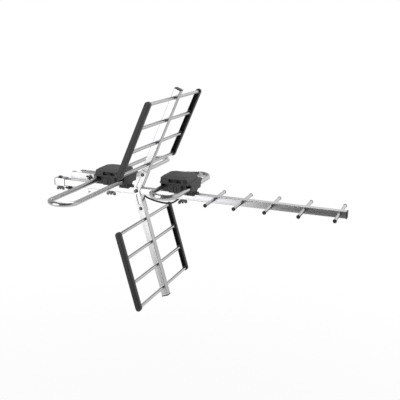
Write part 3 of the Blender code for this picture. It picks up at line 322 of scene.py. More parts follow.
def rubbedGroup():
    # where an outer edge is rubbed: the rim that Pointiness finds, broken up by a noise
    group, inside, out = makeGroup(
        "rubbedEdges",
        [("Vector", 'NodeSocketVector', (0, 0, 0)), ("Amount", 'NodeSocketFloat', 0.5)],
        [("Mask", 'NodeSocketFloat')])
    pointiness = group.nodes.new("ShaderNodeNewGeometry").outputs["Pointiness"]
    rim = mapRange(group, pointiness, *rubShape["rim"])
    patches = noise(group, inside.outputs["Vector"], *rubShape["noise"])
    broken = mapRange(group, patches, *rubShape["patches"])
    both = maths(group, 'MULTIPLY', rim, broken)
    feed(group, out.inputs["Mask"], maths(group, 'MULTIPLY', both, inside.outputs["Amount"]))
    return group


grain = grainGroup()
rubbed = rubbedGroup()


def finishMaterial(name, colour, metallic, stretch, tone, rough, bump, useUv=False, rub=0.0,
                   rubColour=(0.3, 0.3, 0.3), lean=0.0):
    # a Principled shader whose tone, roughness and relief come from the grain group;
    # lean turns the pattern about y, so that streaks run along a slanting piece
    material = bpy.data.materials.new(name)
    material.use_nodes = True
    tree = material.node_tree
    shader = tree.nodes["Principled BSDF"]
    link = tree.links.new
    where = tree.nodes.new("ShaderNodeTexCoord")
    coordinate = where.outputs["UV" if useUv else "Object"]
    if lean:
        turn = tree.nodes.new("ShaderNodeMapping")
        turn.inputs["Rotation"].default_value = (0.0, radians(lean), 0.0)
        link(coordinate, turn.inputs["Vector"])
        coordinate = turn.outputs["Vector"]
    body = tree.nodes.new("ShaderNodeGroup")
    body.node_tree = grain
    link(coordinate, body.inputs["Vector"])
    body.inputs["Stretch"].default_value = stretch
    for label, value in (("Tone Low", tone[0]), ("Tone High", tone[1]),
                         ("Rough Low", rough[0]), ("Rough High", rough[1])):
        body.inputs[label].default_value = value
    tint = tree.nodes.new("ShaderNodeMix")
    tint.data_type = 'RGBA'
    tint.blend_type = 'MULTIPLY'
    tint.inputs["Factor"].default_value = 1.0
    tint.inputs["A"].default_value = (*colour, 1.0)
    link(body.outputs["Tone"], tint.inputs["B"])
    shown = tint.outputs["Result"]
    if rub:
        edges = tree.nodes.new("ShaderNodeGroup")
        edges.node_tree = rubbed
        edges.inputs["Amount"].default_value = rub
        link(coordinate, edges.inputs["Vector"])
        worn = tree.nodes.new("ShaderNodeMix")
        worn.data_type = 'RGBA'
        worn.inputs["B"].default_value = (*rubColour, 1.0)
        link(edges.outputs["Mask"], worn.inputs["Factor"])
        link(shown, worn.inputs["A"])
        shown = worn.outputs["Result"]
    link(shown, shader.inputs["Base Color"])
    link(body.outputs["Roughness"], shader.inputs["Roughness"])
    relief = tree.nodes.new("ShaderNodeBump")
    relief.inputs["Strength"].default_value = bump[0]
    relief.inputs["Distance"].default_value = bump[1]
    link(body.outputs["Height"], relief.inputs["Height"])
    link(relief.outputs["Normal"], shader.inputs["Normal"])
    shader.inputs["Metallic"].default_value = metallic
    return material


aluminiumTone = {"colour": (0.66, 0.66, 0.67), "tone": (0.92, 1.0), "rough": (0.20, 0.28),
                 "bump": (0.02, 0.00001)}
drawnAlongX = finishMaterial("drawn aluminium along the boom", metallic=1.0,
                             stretch=(8, 900, 900), **aluminiumTone)
drawnAlongY = finishMaterial("drawn aluminium along the rods", metallic=1.0,
                             stretch=(900, 8, 900), **aluminiumTone)
drawnAlongUpper = finishMaterial("drawn aluminium along the upper arm", metallic=1.0,
                                 stretch=(900, 900, 8), lean=panels["upper"]["angle"] - 90,
                                 **aluminiumTone)
drawnAlongLower = finishMaterial("drawn aluminium along the lower arm", metallic=1.0,
                                 stretch=(900, 900, 8), lean=90 - panels["lower"]["angle"],
                                 **aluminiumTone)
drawnOnTube = finishMaterial("drawn aluminium round the loops", metallic=1.0,
                             stretch=(60, 14, 1), useUv=True, **aluminiumTone)
zincPlate = finishMaterial("bright zinc plate", (0.72, 0.72, 0.73), 1.0, (420, 420, 420),
                           (0.84, 1.0), (0.22, 0.36), (0.10, 0.00004))
boltZinc = finishMaterial("darker zinc plate", (0.20, 0.20, 0.205), 1.0, (700, 700, 700),
                          (0.70, 1.0), (0.28, 0.44), (0.15, 0.00004), rub=0.5,
                          rubColour=(0.42, 0.42, 0.42))
boxPlastic = finishMaterial("moulded box plastic", (0.046, 0.046, 0.048), 0.0, (1900, 1900, 1900),
                            (0.84, 1.0), (0.43, 0.51), (0.35, 0.00006), rub=0.35,
                            rubColour=(0.13, 0.13, 0.13))
stripPlastic = finishMaterial("edge strip plastic", (0.012, 0.012, 0.0125), 0.0,
                              (1500, 1500, 1500), (0.80, 1.0), (0.28, 0.40), (0.25, 0.00004),
                              rub=0.3, rubColour=(0.06, 0.06, 0.06))
# rougher than the strip plastic, and darker to paint shade into the strips' channels
stripInsideShaded = finishMaterial("rougher inside of the strips with painted shade", (0.007, 0.007, 0.0075), 0.0,
                             (1500, 1500, 1500), (0.80, 1.0), (0.72, 0.86), (0.30, 0.00005))
capPlastic = finishMaterial("end cap plastic", (0.022, 0.022, 0.023), 0.0, (1500, 1500, 1500),
                            (0.80, 1.0), (0.36, 0.50), (0.25, 0.00005))
sheathRubber = finishMaterial("cable sheath", (0.014, 0.014, 0.015), 0.0, (900, 900, 900),
                              (0.80, 1.0), (0.38, 0.50), (0.10, 0.00003))
boardVarnish = finishMaterial("varnished board", (0.05, 0.20, 0.09), 0.0, (400, 400, 400),
                              (0.80, 1.0), (0.28, 0.40), (0.10, 0.00003))
print("finishes made:", len(bpy.data.materials))

# Every CAD node that stays gets its finish, by the first of these words that its name holds

cadFinishes = {
    "lead": sheathRubber, "board": boardVarnish, "bolt": boltZinc, "nut": boltZinc,
    "cheek": zincPlate, "jaw": zincPlate, "saddle": zincPlate, "strip": stripPlastic,
    "lid": boxPlastic, "base": boxPlastic, "plug": capPlastic, "cap": capPlastic,
    "upper_arm": drawnAlongUpper, "lower_arm": drawnAlongLower, "boom": drawnAlongX,
}
for name, node in nodes.items():
    finish = next((cadFinishes[word] for word in cadFinishes if word in name), drawnAlongY)
    node.data.materials.clear()
    node.data.materials.append(finish)

# Round tubes: rods and directors

tubes = {"radius": 0.0045, "wall": 0.0009, "sides": 36}


def roundTube(node, name):
    low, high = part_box(node)
    centre = (low + high) / 2
    length = high.y - low.y
    piece = turned(name, tubeProfile(tubes["radius"], tubes["wall"], length),
                   (centre.x, low.y, centre.z), (0, 1, 0), tubes["sides"], True)
    return place(smooth(piece), node, drawnAlongY)


for number in range(1, 6):
    roundTube(f"director_{number}", f"directorTube{number}")
for panel in panels:
    for number in range(1, 5):
        roundTube(f"{panel}_reflector_rod_{number}", f"{panel}RodTube{number}")
print("rods and directors made")

# Folded dipoles

loops = {
    "vhf": {"x": 0.1203, "spacing": 0.0694, "half": 0.3334, "flatten": 1.04},
    "uhf": {"x": 0.3136, "spacing": 0.0724, "half": 0.1562, "flatten": 1.38},
}
loopShared = {"height": 0.0290, "radius": 0.0060, "wall": 0.0010, "gap": 0.026,
              "bendSteps": 40, "flattenOver": 2.2, "sides": 36}


def loopTube(word, size):
    # a racetrack path in a level plane, from one side of the feed gap to the other, with an
    # oval section: P = path + across * a cos u + up * b sin u, taller where the tube bends
    bend, straight = size["spacing"] / 2, size["half"] - size["spacing"] / 2
    turn = np.linspace(0, pi, loopShared["bendSteps"] + 1)
    far = np.stack([-bend * np.cos(turn), straight + bend * np.sin(turn)], 1)
    near = np.stack([bend * np.cos(turn), -straight - bend * np.sin(turn)], 1)
    start, end = [[-bend, loopShared["gap"] / 2]], [[-bend, -loopShared["gap"] / 2]]
    path = np.vstack([start, far, near, end])
    tangent = np.gradient(path, axis=0)
    tangent[0], tangent[-1] = (0, 1), (0, 1)
    for k in (1, len(far), len(far) + 1, len(path) - 2):
        tangent[k] = (0, 1) if path[k, 0] < 0 else (0, -1)
    tangent /= np.linalg.norm(tangent, axis=1)[:, None]
    across = np.stack([tangent[:, 1], -tangent[:, 0], 0 * tangent[:, 0]], 1)
    past = np.clip((np.abs(path[:, 1]) - straight) / bend * loopShared["flattenOver"], 0, 1)
    past = past * past * (3 - 2 * past)
    wide = 1 + (1 / size["flatten"] - 1) * past
    tall = 1 + (size["flatten"] - 1) * past
    centre = np.column_stack([path[:, 0] + size["x"], path[:, 1] + boomY,
                              np.full(len(path), loopShared["height"])])
    u = ringAngles(loopShared["sides"])
    shells = []
    for radius, order in ((loopShared["radius"], 1),
                          (loopShared["radius"] - loopShared["wall"], -1)):
        ring = (centre[None] + np.cos(u)[:, None, None] * across * (radius * wide)[:, None]
                + np.sin(u)[:, None, None] * np.array((0, 0, 1.0)) * (radius * tall)[:, None])
        shells.append(ring[:, ::order])
    points = np.concatenate(shells, axis=1)
    run = np.concatenate([[0], np.cumsum(np.linalg.norm(np.diff(path, axis=0), axis=1))])
    run = np.concatenate([run, run[::-1], run[:1]])
    uv = np.stack(np.meshgrid(np.linspace(0, 1, len(u) + 1), run, indexing="ij"), 2)
    piece = gridPiece(f"{word}LoopTube", points, True, True, uv)
    return place(smooth(piece), f"{word}_dipole_loop", drawnOnTube)


for word, size in loops.items():
    loopTube(word, size)
print("folded dipoles made")

# Director end plugs: domed heads with a shallow dimple

plugs = {"radius": 0.0052, "head": 0.0020, "inset": 0.0004, "dimple": 0.0016, "sunk": 0.0004,
         "rim": 0.0003, "bulge": 0.6, "edge": 0.0001, "sides": 28}
plugStem = [(0.0033, plugs["head"] - plugs["edge"]), (0.0031, 0.0095), (0.0, 0.0099)]


def directorPlug(number, word, outward):
    node = f"director_{number}_plug_{word}"
    low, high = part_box(node)
    centre = (low + high) / 2
    tip = (low.y if outward < 0 else high.y) - outward * plugs["inset"]
    r, h, dimple, sunk, rim = (plugs[k] for k in ("radius", "head", "dimple", "sunk", "rim"))
    bowl = [(dimple * t, sunk * (1 - t * t)) for t in (0.0, 0.5, 1.0)]
    dome = [(dimple + rim + (r - dimple - rim) * sin(a), h * plugs["bulge"] * (1 - cos(a)))
            for a in np.linspace(0, pi / 2, 8)]
    profile = bowl + dome + [(r, h - sunk), (r - rim, h - plugs["edge"])] + plugStem
    piece = turned(f"director{number}{word.capitalize()}Plug", profile,
                   (centre.x, tip, centre.z), (0, -outward, 0), plugs["sides"])
    place(smooth(piece, 50), node, capPlastic)


for number in range(1, 6):
    for word, outward in (("near", -1), ("far", 1)):
        directorPlug(number, word, outward)
print("director plugs made")

# Bolts: a hexagonal head with its corners turned off, a shank and a thread at the tip

bolts = {"radius": 0.0030, "across": 0.010, "head": 0.0042, "pitch": 0.0010, "depth": 0.00042,
         "threaded": 0.0155, "crown": 0.0044, "crownSlope": 1.9, "underHead": 0.0051,
         "runIn": 0.0015, "chamfer": 0.0007, "sides": 36}
boltDirections = {"vhf_box_bolt": (0, 0, -1), "uhf_box_bolt": (0, 0, -1),
                  "saddle_bolt": (0, 0, -1), "mast_bolt_upper": (0, -1, 0),
                  "mast_bolt_lower": (0, -1, 0), "bracket_bolt": (0, 1, 0)}


def hexRadius(u, across):
    # distance from the middle of a hexagon to its side: a / cos(u folded into 60 degrees)
    return across / 2 / np.cos((u + pi / 6) % (pi / 3) - pi / 6)


def threadedBolt(node, direction):
    # R(u, v) is the lesser of hexagon and cone on the head, and on the thread
    # radius - depth (0.5 - 0.5 cos(2 pi v / pitch - u)), which winds it into a helix
    low, high = (np.array(corner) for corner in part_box(node))
    direction = np.array(direction, float)
    centre = (low + high) / 2
    length = abs(np.dot(high - low, direction))
    start = centre - direction * length / 2
    u = ringAngles(bolts["sides"])
    headRun = np.array([0, 0.00002, 0.0004, 0.0007, 0.0010, bolts["head"] - 0.0001, bolts["head"]])
    cone = bolts["crown"] + headRun * bolts["crownSlope"]
    cone[0] = 0
    cone[-1] = bolts["underHead"]
    headRadius = np.minimum(hexRadius(u[:, None], bolts["across"]), cone[None])
    threadRun = np.arange(length - bolts["threaded"], length - bolts["chamfer"],
                          bolts["pitch"] / 8)
    wave = 0.5 - 0.5 * np.cos(2 * pi * threadRun[None] / bolts["pitch"] - u[:, None])
    fade = np.clip((threadRun - threadRun[0]) / bolts["runIn"], 0, 1)
    threadRadius = bolts["radius"] - bolts["depth"] * wave * fade[None]
    neck = np.full((len(u), 1), bolts["radius"])
    tip = np.column_stack([np.full(len(u), bolts["radius"] - bolts["chamfer"]),
                           np.zeros(len(u))])
    radius = np.concatenate([headRadius, neck, threadRadius, tip], axis=1)
    run = np.concatenate([headRun, [bolts["head"] + 0.00005], threadRun, [length, length]])
    piece = gridPiece(camelName(node), roundGrid(start, direction, run, radius), True, False)
    return place(smooth(piece, 40), node, boltZinc)


for node, direction in boltDirections.items():
    threadedBolt(node, direction)
print("bolts made")

# Blind rivets: a domed head with the pulled pin sunk in its middle

rivets = {"reach": 0.051, "radius": 0.0050, "height": 0.0027, "pin": 0.0022, "sink": 0.0008,
          "cover": 0.0013, "domeEnd": 1.05, "roundness": 0.8, "bed": -0.0002, "sides": 36}


def rivetHead(name, angle, side):
    # radius R cos a against height H sin^0.8 a, then down into the hole round the pin; it sits
    # over the plain head that ends the cheek's box, 1.3 mm proud of the plate
    low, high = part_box("bracket_cheek_near")
    face = (boomY - low.y if side < 0 else high.y - boomY) - rivets["cover"]
    r, h, pin, sink = (rivets[k] for k in ("radius", "height", "pin", "sink"))
    a = np.linspace(0, rivets["domeEnd"], 9)
    dome = np.stack([r * np.cos(a), h * np.sin(a) ** rivets["roundness"]], 1)
    top = dome[-1, 1]
    bowl = [(pin, top), (pin - 0.0001, top - sink), (pin - 0.0004, top - sink), (0, top - sink)]
    core = [(0, top - sink), (pin - 0.0005, top - sink), (pin - 0.0006, top - sink * 0.6),
            (pin * 0.4, top - sink * 0.45), (0, top - sink * 0.42)]
    bed = [(0, rivets["bed"]), (r, rivets["bed"])]
    foot = (apexX + rivets["reach"] * cos(angle), boomY + side * face,
            rivets["reach"] * sin(angle))
    for label, profile in ((name, np.vstack([bed, dome, bowl])), (name + "Pin", core)):
        piece = turned(label, profile, foot, (0, side, 0), rivets["sides"])
        place(smooth(piece, 40), None, boltZinc)


for panel, lean in panels.items():
    for word, side in (("Near", -1), ("Far", 1)):
        rivetHead(f"{panel}{word}Rivet", lean["lift"] * radians(lean["angle"]), side)
print("rivets made")

# Wing nuts: a tapered hub and two pressed ears

wingNuts = {
    "vhf_box_wing_nut": {"foot": (0.1043, boomY, -0.0099), "axis": (0, 0, -1), "turn": 4,
                         "span": 0.0285},
    "uhf_box_wing_nut": {"foot": (0.3196, boomY, -0.0099), "axis": (0, 0, -1), "turn": 48,
                         "span": 0.0285},
    "saddle_wing_nut": {"foot": (-0.0565, boomY, -0.0118), "axis": (0, 0, -1), "turn": 8,
                        "span": 0.0240},
    "mast_wing_nut_upper": {"foot": (0.0325, boomY + 0.0096, 0.0187), "axis": (0, -1, 0),
                            "turn": 42, "span": 0.0172},
    "mast_wing_nut_lower": {"foot": (-0.0325, boomY + 0.0096, -0.0187), "axis": (0, -1, 0),
                            "turn": 14, "span": 0.0172},
}
wingShared = {"bore": 0.0034, "foot": 0.0060, "top": 0.0046, "height": 0.0085,
              "reach": 0.0135, "round": 0.0042, "thick": 0.0027, "lip": 0.0003,
              "overlap": 0.0008, "edge": 0.0009}


def wingNut(node, nut):
    foot, axis = np.array(nut["foot"]), np.array(nut["axis"], float)
    angle = radians(nut["turn"])
    out = (cos(angle), sin(angle), 0) if axis[2] else (cos(angle), 0, -sin(angle))
    out = np.array(out)
    bore, height, lip = (wingShared[k] for k in ("bore", "height", "lip"))
    base, top = wingShared["foot"], wingShared["top"]
    hub = [(base - lip, 0), (base, lip), (base, 0.0014), (base - 0.0007, 0.0030),
           (top + 0.0002, height - 0.0012), (top - lip, height), (bore + lip, height),
           (bore, height - lip), (bore, lip), (bore + lip, 0)]
    shells = [turned(node + "Hub", hub, foot, axis, 40, True)]
    # an ear starts within the hub's wall, and its far corners are as round as its width lets them
    half, reach, root = nut["span"] / 2, wingShared["reach"], bore + wingShared["overlap"]
    ear = min(wingShared["round"], (half - 0.0040) / 2)
    corners = [(root, 0.0013, 0), (base - 0.0002, 0.0013, 0.0008),
               (half, reach - 2 * ear, ear * 0.95), (half, reach, ear * 0.9),
               (half - 2 * ear, reach, ear * 0.9), (top - 0.0006, height - 0.0014, 0.001),
               (root, height - 0.0014, 0)]
    outline = easedOutline(corners, 8)
    for name, side in (("Left", -out), ("Right", out)):
        shells.append(slab(node + name, outline, wingShared["thick"], wingShared["edge"], foot,
                           side, axis))
    piece = joined(camelName(node), shells)
    return place(smooth(piece, 50), node, boltZinc, node + "_body")


for node, nut in wingNuts.items():
    wingNut(node, nut)
print("wing nuts made")

# Jumper lead between the boxes, with a screw-on plug and a sleeve at each end

lead = {"startX": 0.1133, "endX": 0.3066, "socketY": 0.0215, "plugTop": 0.0072,
        "plugLength": 0.0125, "radius": 0.0025, "side": 0.0170, "sag": 0.0325, "around": 20,
        "perPoint": 7}
# shares of the span, of the offset from the boom's axis and of the sag
leadRoute = ((0.0, 1.26, 0.27), (0.04, 1.2, 0.47), (0.14, 1.12, 0.35), (0.27, 1.0, 0.29),
             (0.39, 0.97, 0.40), (0.50, 1.0, 0.72), (0.63, 1.03, 0.92), (0.76, 1.06, 1.0),
             (0.87, 1.12, 0.92), (0.955, 1.2, 0.56), (1.0, 1.26, 0.27))


def leadPath():
    # the same cubic through chosen points as the solid's, worked out for all spans at once
    route = np.array(leadRoute)
    inside = lead["plugTop"] - 0.7 * lead["plugLength"]
    span = lead["endX"] - lead["startX"]
    chosen = np.column_stack([lead["startX"] + span * route[:, 0], lead["side"] * route[:, 1],
                              -lead["sag"] * route[:, 2]])
    ends = np.array([[lead["startX"], lead["socketY"], inside],
                     [lead["endX"], lead["socketY"], inside]])
    chosen = np.vstack([ends[:1], chosen, ends[1:]])
    padded = np.vstack([2 * chosen[0] - chosen[1], chosen, 2 * chosen[-1] - chosen[-2]])
    a, b, c, d = (padded[k:len(padded) - 3 + k, None] for k in range(4))
    t = np.linspace(0, 1, lead["perPoint"], endpoint=False)[None, :, None]
    curve = 0.5 * (2 * b + (c - a) * t + (2 * a - 5 * b + 4 * c - d) * t ** 2
                   + (3 * b - a - 3 * c + d) * t ** 3)
    return np.vstack([curve.reshape(-1, 3), chosen[-1:]]) + (0, boomY, 0)


def leadTube(path):
    # P(u, v) = path(v) + radius (side(v) cos u + up(v) sin u), closed at both ends
    tangent = np.gradient(path, axis=0)
    tangent /= np.linalg.norm(tangent, axis=1)[:, None]
    side = np.cross(tangent, (0, 1.0, 0))
    side /= np.linalg.norm(side, axis=1)[:, None]
    up = np.cross(side, tangent)
    u = ringAngles(lead["around"])[:, None, None]
    points = path[None] + lead["radius"] * (np.cos(u) * side[None] + np.sin(u) * up[None])
    close = np.broadcast_to(path[[0, -1]], (lead["around"], 2, 3))
    points = np.concatenate([close[:, :1], points, close[:, 1:]], axis=1)
    return gridPiece("jumperLead", points, True, False)


# distances from the plug's top, radii there, and which of them are knurled
plugShape = {"run": (0, 0, 0.0005, 0.0052, 0.0057, 0.0058, 0.0064, 0.0066, 0.0116, 0.0124, 0.0125),
             "radius": (0, 0.0049, 0.0054, 0.0054, 0.0049, 0.0040, 0.0040, 0.0043, 0.0041,
                        0.0034, 0),
             "knurled": (0, 0, 1, 1, 0, 0, 0, 0, 0, 0, 0), "ridge": 0.00016, "ridges": 24,
             "sides": 192}


def leadPlug(name, x):
    # a knurled nut, R(u) = radius + ridge cos(24 u), over a crimped sleeve that tapers to the lead
    top = np.array((x, boomY + lead["socketY"], lead["plugTop"]))
    run, base, knurled = (np.array(plugShape[k]) for k in ("run", "radius", "knurled"))
    ridge = knurled * plugShape["ridge"]
    wave = np.cos(plugShape["ridges"] * ringAngles(plugShape["sides"]))
    radius = base[None] + ridge[None] * wave[:, None]
    piece = gridPiece(name, roundGrid(top, (0, 0, -1), run, radius), True, False)
    return place(smooth(piece, 40), "jumper_lead", zincPlate)


leadLine = leadPath()
leadPiece = place(smooth(leadTube(leadLine), 60), "jumper_lead", sheathRubber)
leadPlugs = [leadPlug("leadPlugRear", lead["startX"]), leadPlug("leadPlugFront", lead["endX"])]

# Catches in the pockets at both ends of each lid

catches = {"width": 0.0110, "depth": 0.0030, "floor": 0.0448, "tall": 0.0046, "back": 0.0022,
           "end": 0.0520, "ease": 0.0004}
for word, size in loops.items():
    for side, name in ((-1, "Near"), (1, "Far")):
        # a hooked tongue: its outline stands up from the pocket's floor, drawn along the boom
        y = boomY + side * (catches["end"] - catches["back"])
        depth, tall = catches["depth"], catches["tall"]
        outline = easedOutline([(0, 0, 0), (depth * 0.55, 0, 0), (depth * 0.55, tall * 0.5, 0.0004),
                                (depth, tall * 0.62, 0.0005), (depth * 0.5, tall, 0.0006),
                                (0, tall, 0.0004)], 5)
        piece = slab(f"{word}{name}Catch", outline, catches["width"], catches["ease"],
                     (size["x"], y, catches["floor"]), (0, side, 0), (0, 0, 1))
        place(smooth(piece, 45), None, capPlastic)
print("catches made")

# Edge strips get a long groove in their outer face, and their channel a rougher finish whose darker
# colour is painted shade

# places along a panel are distances from its apex; the groove runs past the end rods, in the
# one face larger than outerFace; the channel lies from skin to deep behind the outer face
strips = {"firstRod": 0.0832, "pitch": 0.0671, "rods": 4, "past": 0.0020, "grooveAt": 0.0030,
          "grooveWidth": 0.0013, "grooveDepth": 0.0009, "grooveWall": 0.00015,
          "outerFace": 0.0015, "skin": 0.001, "deep": 0.0097, "halfChannel": 0.0066,
          "ease": 0.0007}
strips["lastRod"] = strips["firstRod"] + (strips["rods"] - 1) * strips["pitch"]


def panelAxes(panel):
    # unit vectors along the panel, away from the apex, and across its strips
    angle, lift = radians(panels[panel]["angle"]), panels[panel]["lift"]
    return (cos(angle), 0, lift * sin(angle)), (sin(angle), 0, -lift * cos(angle))


def grooveCut(panel, outward):
    # splits the outer face along two lines and across two, and sinks what lies between
    along, across = (Vector(axis) for axis in panelAxes(panel))
    apex = Vector((apexX, boomY, 0))
    first, last = strips["firstRod"] - strips["past"], strips["lastRod"] + strips["past"]
    low = strips["grooveAt"]
    high = low + strips["grooveWidth"]

    def carve(bm):
        faces = [f for f in bm.faces
                 if f.normal.y * outward > 0.99 and f.calc_area() > strips["outerFace"]]
        geometry = faces + [e for f in faces for e in f.edges] + [v for f in faces for v in f.verts]
        for point, normal in ((apex + across * low, across), (apex + across * high, across),
                              (apex + along * first, along), (apex + along * last, along)):
            cut = bmesh.ops.bisect_plane(bm, geom=list(set(geometry)), plane_co=point,
                                         plane_no=normal, dist=0.000001)
            geometry = [g for g in cut["geom"] if g.is_valid]
        sunk = []
        for face in geometry:
            if isinstance(face, bmesh.types.BMFace):
                middle = face.calc_center_median() - apex
                if low < middle.dot(across) < high and first < middle.dot(along) < last:
                    sunk.append(face)
        bmesh.ops.inset_region(bm, faces=sunk, thickness=strips["grooveWall"],
                               depth=-strips["grooveDepth"])

    return carve


def paintChannelShade(piece, panel):
    # the second finish goes on the faces in the channel: those whose middle lies between the
    # end sockets, behind the outer face, before the rim and within the walls; it is rougher, and
    # its darker colour is painted shade
    polygons = piece.data.polygons
    middle = np.empty(len(polygons) * 3)
    polygons.foreach_get("center", middle)
    middle = middle.reshape(-1, 3) - (apexX, boomY, 0)
    along, across = (middle @ np.array(axis) for axis in panelAxes(panel))
    inward = panels[panel]["outer"] - np.abs(middle[:, 1])
    inside = ((along > strips["firstRod"]) & (along < strips["lastRod"])
              & (np.abs(across) < strips["halfChannel"])
              & (inward > strips["skin"]) & (inward < strips["deep"]))
    piece.data.materials.append(stripInsideShaded)
    polygons.foreach_set("material_index", inside.astype(np.int32))
    return int(inside.sum())


channelFaces = 0
for panel in panels:
    for side, outward in (("near", -1), ("far", 1)):
        node = f"{panel}_edge_strip_{side}"
        piece = softened(node, f"{panel}{side.capitalize()}EdgeStrip", strips["ease"],
                         carve=grooveCut(panel, outward))
        place(piece, node, stripPlastic)
        channelFaces += paintChannelShade(piece, panel)
print("edge strips grooved, faces in their channels:", channelFaces)

# Flat and moulded pieces keep their CAD form with eased edges

# piece name, slot, finish, width of the eased edge and how many faces it gets
easing = {
    "boom": ("boomTube", "bare_aluminium", drawnAlongX, 0.00035, 2),
    "upper_arm": ("upperArmTube", "bare_aluminium", drawnAlongUpper, 0.00035, 2),
    "lower_arm": ("lowerArmTube", "bare_aluminium", drawnAlongLower, 0.00035, 2),
    "boom_cap_front": ("boomCapFront", "black_plastic", capPlastic, 0.0004, 2),
    "boom_cap_rear": ("boomCapRear", "black_plastic", capPlastic, 0.0004, 2),
    "upper_arm_plug": ("upperArmPlug", "black_plastic", capPlastic, 0.0004, 2),
    "lower_arm_plug": ("lowerArmPlug", "black_plastic", capPlastic, 0.0004, 2),
    "bracket_cheek_near": ("bracketCheekNear", "zinc_steel", zincPlate, 0.0003, 2),
    "bracket_cheek_far": ("bracketCheekFar", "zinc_steel", zincPlate, 0.0003, 2),
    "bracket_nut": ("bracketNut", "bolt_steel", boltZinc, 0.0004, 2),
    "clamp_fixed_jaw": ("clampFixedJaw", "zinc_steel", zincPlate, 0.0003, 2),
    "clamp_back_jaw": ("clampBackJaw", "zinc_steel", zincPlate, 0.0003, 2),
    "boom_saddle": ("boomSaddle", "zinc_steel", zincPlate, 0.0003, 2),
}
for word in loops:
    easing[f"{word}_box_base"] = (f"{word}BoxBase", "black_plastic", boxPlastic, 0.0005, 2)
    easing[f"{word}_box_lid"] = (f"{word}BoxLid", "black_plastic", boxPlastic, 0.0014, 3)
for node, (name, slot, material, width, segments) in easing.items():
    place(softened(node, name, width, segments), node, material)
print("flat and moulded pieces eased")

# Floor, light and camera

stage = {"height": -0.9, "left": -25.0, "right": 25.0, "front": -1.6, "back": 40.0,
         "colour": (0.90, 0.90, 0.90, 1.0), "roughness": 0.9, "shadowShare": 0.12,
         "shadowReach": 2.0, "shadowFull": 0.2, "middle": (0.25, 0.0)}
studio = {"roomColour": (0.92, 0.92, 0.92, 1.0), "roomLevel": 0.50, "darkSide": 0.11,
          "bright": 0.26, "dim": 0.46, "frontEnd": -0.35, "backFull": 0.25, "leftEnd": -0.40,
          "leftFull": -0.14, "floorMirrored": 0.30}


def backdropSeen(tree, reach=None):
    # 1 where a ray sees the white backdrop: from the camera, through glass and in reflections
    paths = tree.nodes.new("ShaderNodeLightPath")
    glossy = paths.outputs["Is Glossy Ray"]
    if reach:
        glossy = maths(tree, 'MULTIPLY', glossy, reach)
    seen = maths(tree, 'MAXIMUM', paths.outputs["Is Camera Ray"],
                 paths.outputs["Is Transmission Ray"])
    return maths(tree, 'MAXIMUM', seen, glossy)


floorMesh = bpy.data.meshes.new("floor")
floorMesh.from_pydata([(stage["left"], stage["front"], stage["height"]),
                       (stage["right"], stage["front"], stage["height"]),
                       (stage["right"], stage["back"], stage["height"]),
                       (stage["left"], stage["back"], stage["height"])], [], [(0, 1, 2, 3)])
floor = linked("floor", floorMesh)
floorFinish = bpy.data.materials.new("pale floor")
floorFinish.use_nodes = True
tree = floorFinish.node_tree
plain = tree.nodes["Principled BSDF"]
plain.inputs["Base Color"].default_value = stage["colour"]
plain.inputs["Roughness"].default_value = stage["roughness"]
glow = tree.nodes.new("ShaderNodeEmission")
glow.inputs["Color"].default_value = (1, 1, 1, 1)
mix = tree.nodes.new("ShaderNodeMixShader")
# a shadow shows only near the object, and fades out into the white backdrop
where = tree.nodes.new("ShaderNodeTexCoord")
distance = tree.nodes.new("ShaderNodeVectorMath")
distance.operation = 'DISTANCE'
distance.inputs[1].default_value = (*stage["middle"], stage["height"])
tree.links.new(where.outputs["Object"], distance.inputs[0])
fade = mapRange(tree, distance.outputs["Value"], stage["shadowReach"], stage["shadowFull"],
                0.0, stage["shadowShare"], 'SMOOTHSTEP')
share = maths(tree, 'MULTIPLY', backdropSeen(tree, studio["floorMirrored"]),
              maths(tree, 'SUBTRACT', 1.0, fade))
tree.links.new(share, mix.inputs[0])
tree.links.new(plain.outputs[0], mix.inputs[1])
tree.links.new(glow.outputs[0], mix.inputs[2])
# seen from below the floor is clear, so that it never hides the object
clear = tree.nodes.new("ShaderNodeBsdfTransparent")
sides = tree.nodes.new("ShaderNodeMixShader")
tree.links.new(tree.nodes.new("ShaderNodeNewGeometry").outputs["Backfacing"], sides.inputs[0])
tree.links.new(mix.outputs[0], sides.inputs[1])
tree.links.new(clear.outputs[0], sides.inputs[2])
tree.links.new(sides.outputs[0], tree.nodes["Material Output"].inputs["Surface"])
floorMesh.materials.append(floorFinish)

world = bpy.data.worlds.new("studio")
bpy.context.scene.world = world
world.use_nodes = True
tree = world.node_tree
background = tree.nodes["Background"]
background.inputs["Color"].default_value = studio["roomColour"]
white = tree.nodes.new("ShaderNodeBackground")
white.inputs["Color"].default_value = (1, 1, 1, 1)
# the backdrop stands behind the object and ends above it and at its left, so reflections
# find it only there
direction = tree.nodes.new("ShaderNodeTexCoord")
parts = tree.nodes.new("ShaderNodeSeparateXYZ")
tree.links.new(direction.outputs["Generated"], parts.inputs[0])
height = mapRange(tree, parts.outputs["Z"], studio["bright"], studio["dim"], 1.0, 0.0,
                  'SMOOTHSTEP')
behind = mapRange(tree, parts.outputs["Y"], studio["frontEnd"], studio["backFull"],
                  kind='SMOOTHSTEP')
beside = mapRange(tree, parts.outputs["X"], studio["leftEnd"], studio["leftFull"],
                  kind='SMOOTHSTEP')
reach = maths(tree, 'MULTIPLY', maths(tree, 'MULTIPLY', height, behind), beside)
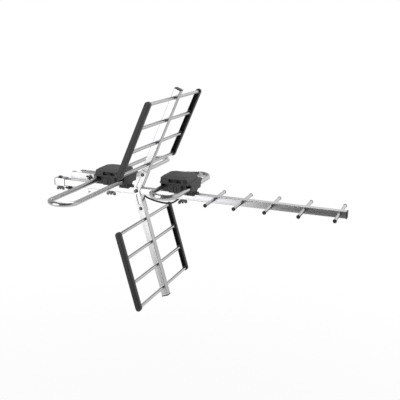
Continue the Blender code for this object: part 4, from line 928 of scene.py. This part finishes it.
# the room in front of the object is darker where it mirrors in the metal
mirrored = maths(tree, 'MULTIPLY', tree.nodes.new("ShaderNodeLightPath").outputs["Is Glossy Ray"],
                 maths(tree, 'SUBTRACT', 1.0, behind))
level = maths(tree, 'MULTIPLY', mirrored, studio["darkSide"] - studio["roomLevel"])
tree.links.new(maths(tree, 'ADD', level, studio["roomLevel"]), background.inputs["Strength"])
mix = tree.nodes.new("ShaderNodeMixShader")
tree.links.new(backdropSeen(tree, reach), mix.inputs[0])
tree.links.new(background.outputs[0], mix.inputs[1])
tree.links.new(white.outputs[0], mix.inputs[2])
tree.links.new(mix.outputs[0], tree.nodes["World Output"].inputs["Surface"])

lamps = {
    "sidePanel": {"at": (-1.26, -2.45, 0.10), "size": (2.3, 2.4), "power": 30.0,
                  "aim": (0.25, 0.0, 0.0)},
    "topPanel": {"at": (0.3, 0.3, 2.4), "size": (2.4, 2.0), "power": 31.0,
                 "aim": (0.25, 0.0, 0.0)},
}
for name, lamp in lamps.items():
    light = bpy.data.lights.new(name, 'AREA')
    light.shape = 'RECTANGLE'
    light.size, light.size_y = lamp["size"]
    light.energy = lamp["power"]
    holder = linked(name, light)
    holder.location = lamp["at"]
    aim = Vector(lamp["aim"]) - holder.location
    holder.rotation_euler = aim.to_track_quat('-Z', 'Y').to_euler()
    holder.visible_camera = False

cameraFit = {
    "at": (1.0077, -1.9401, 0.49722),
    "right": (0.94459, 0.32641, 0.03476),
    "up": (-0.11159, 0.21974, 0.96916),
    "ahead": (-0.3087, 0.91933, -0.24399),
    "lens": 68.58, "sensor": 36.0, "nearest": 0.05, "farthest": 60.0,
}
cameraData = bpy.data.cameras.new("camera")
cameraData.lens = cameraFit["lens"]
cameraData.sensor_width = cameraFit["sensor"]
cameraData.clip_start, cameraData.clip_end = cameraFit["nearest"], cameraFit["farthest"]
camera = linked("camera", cameraData)
turn = Matrix((cameraFit["right"], cameraFit["up"], [-c for c in cameraFit["ahead"]])).transposed()
camera.matrix_world = Matrix.Translation(cameraFit["at"]) @ turn.to_4x4()
bpy.context.scene.camera = camera
bpy.context.scene.view_settings.view_transform = 'Standard'
print("floor, light and camera set")
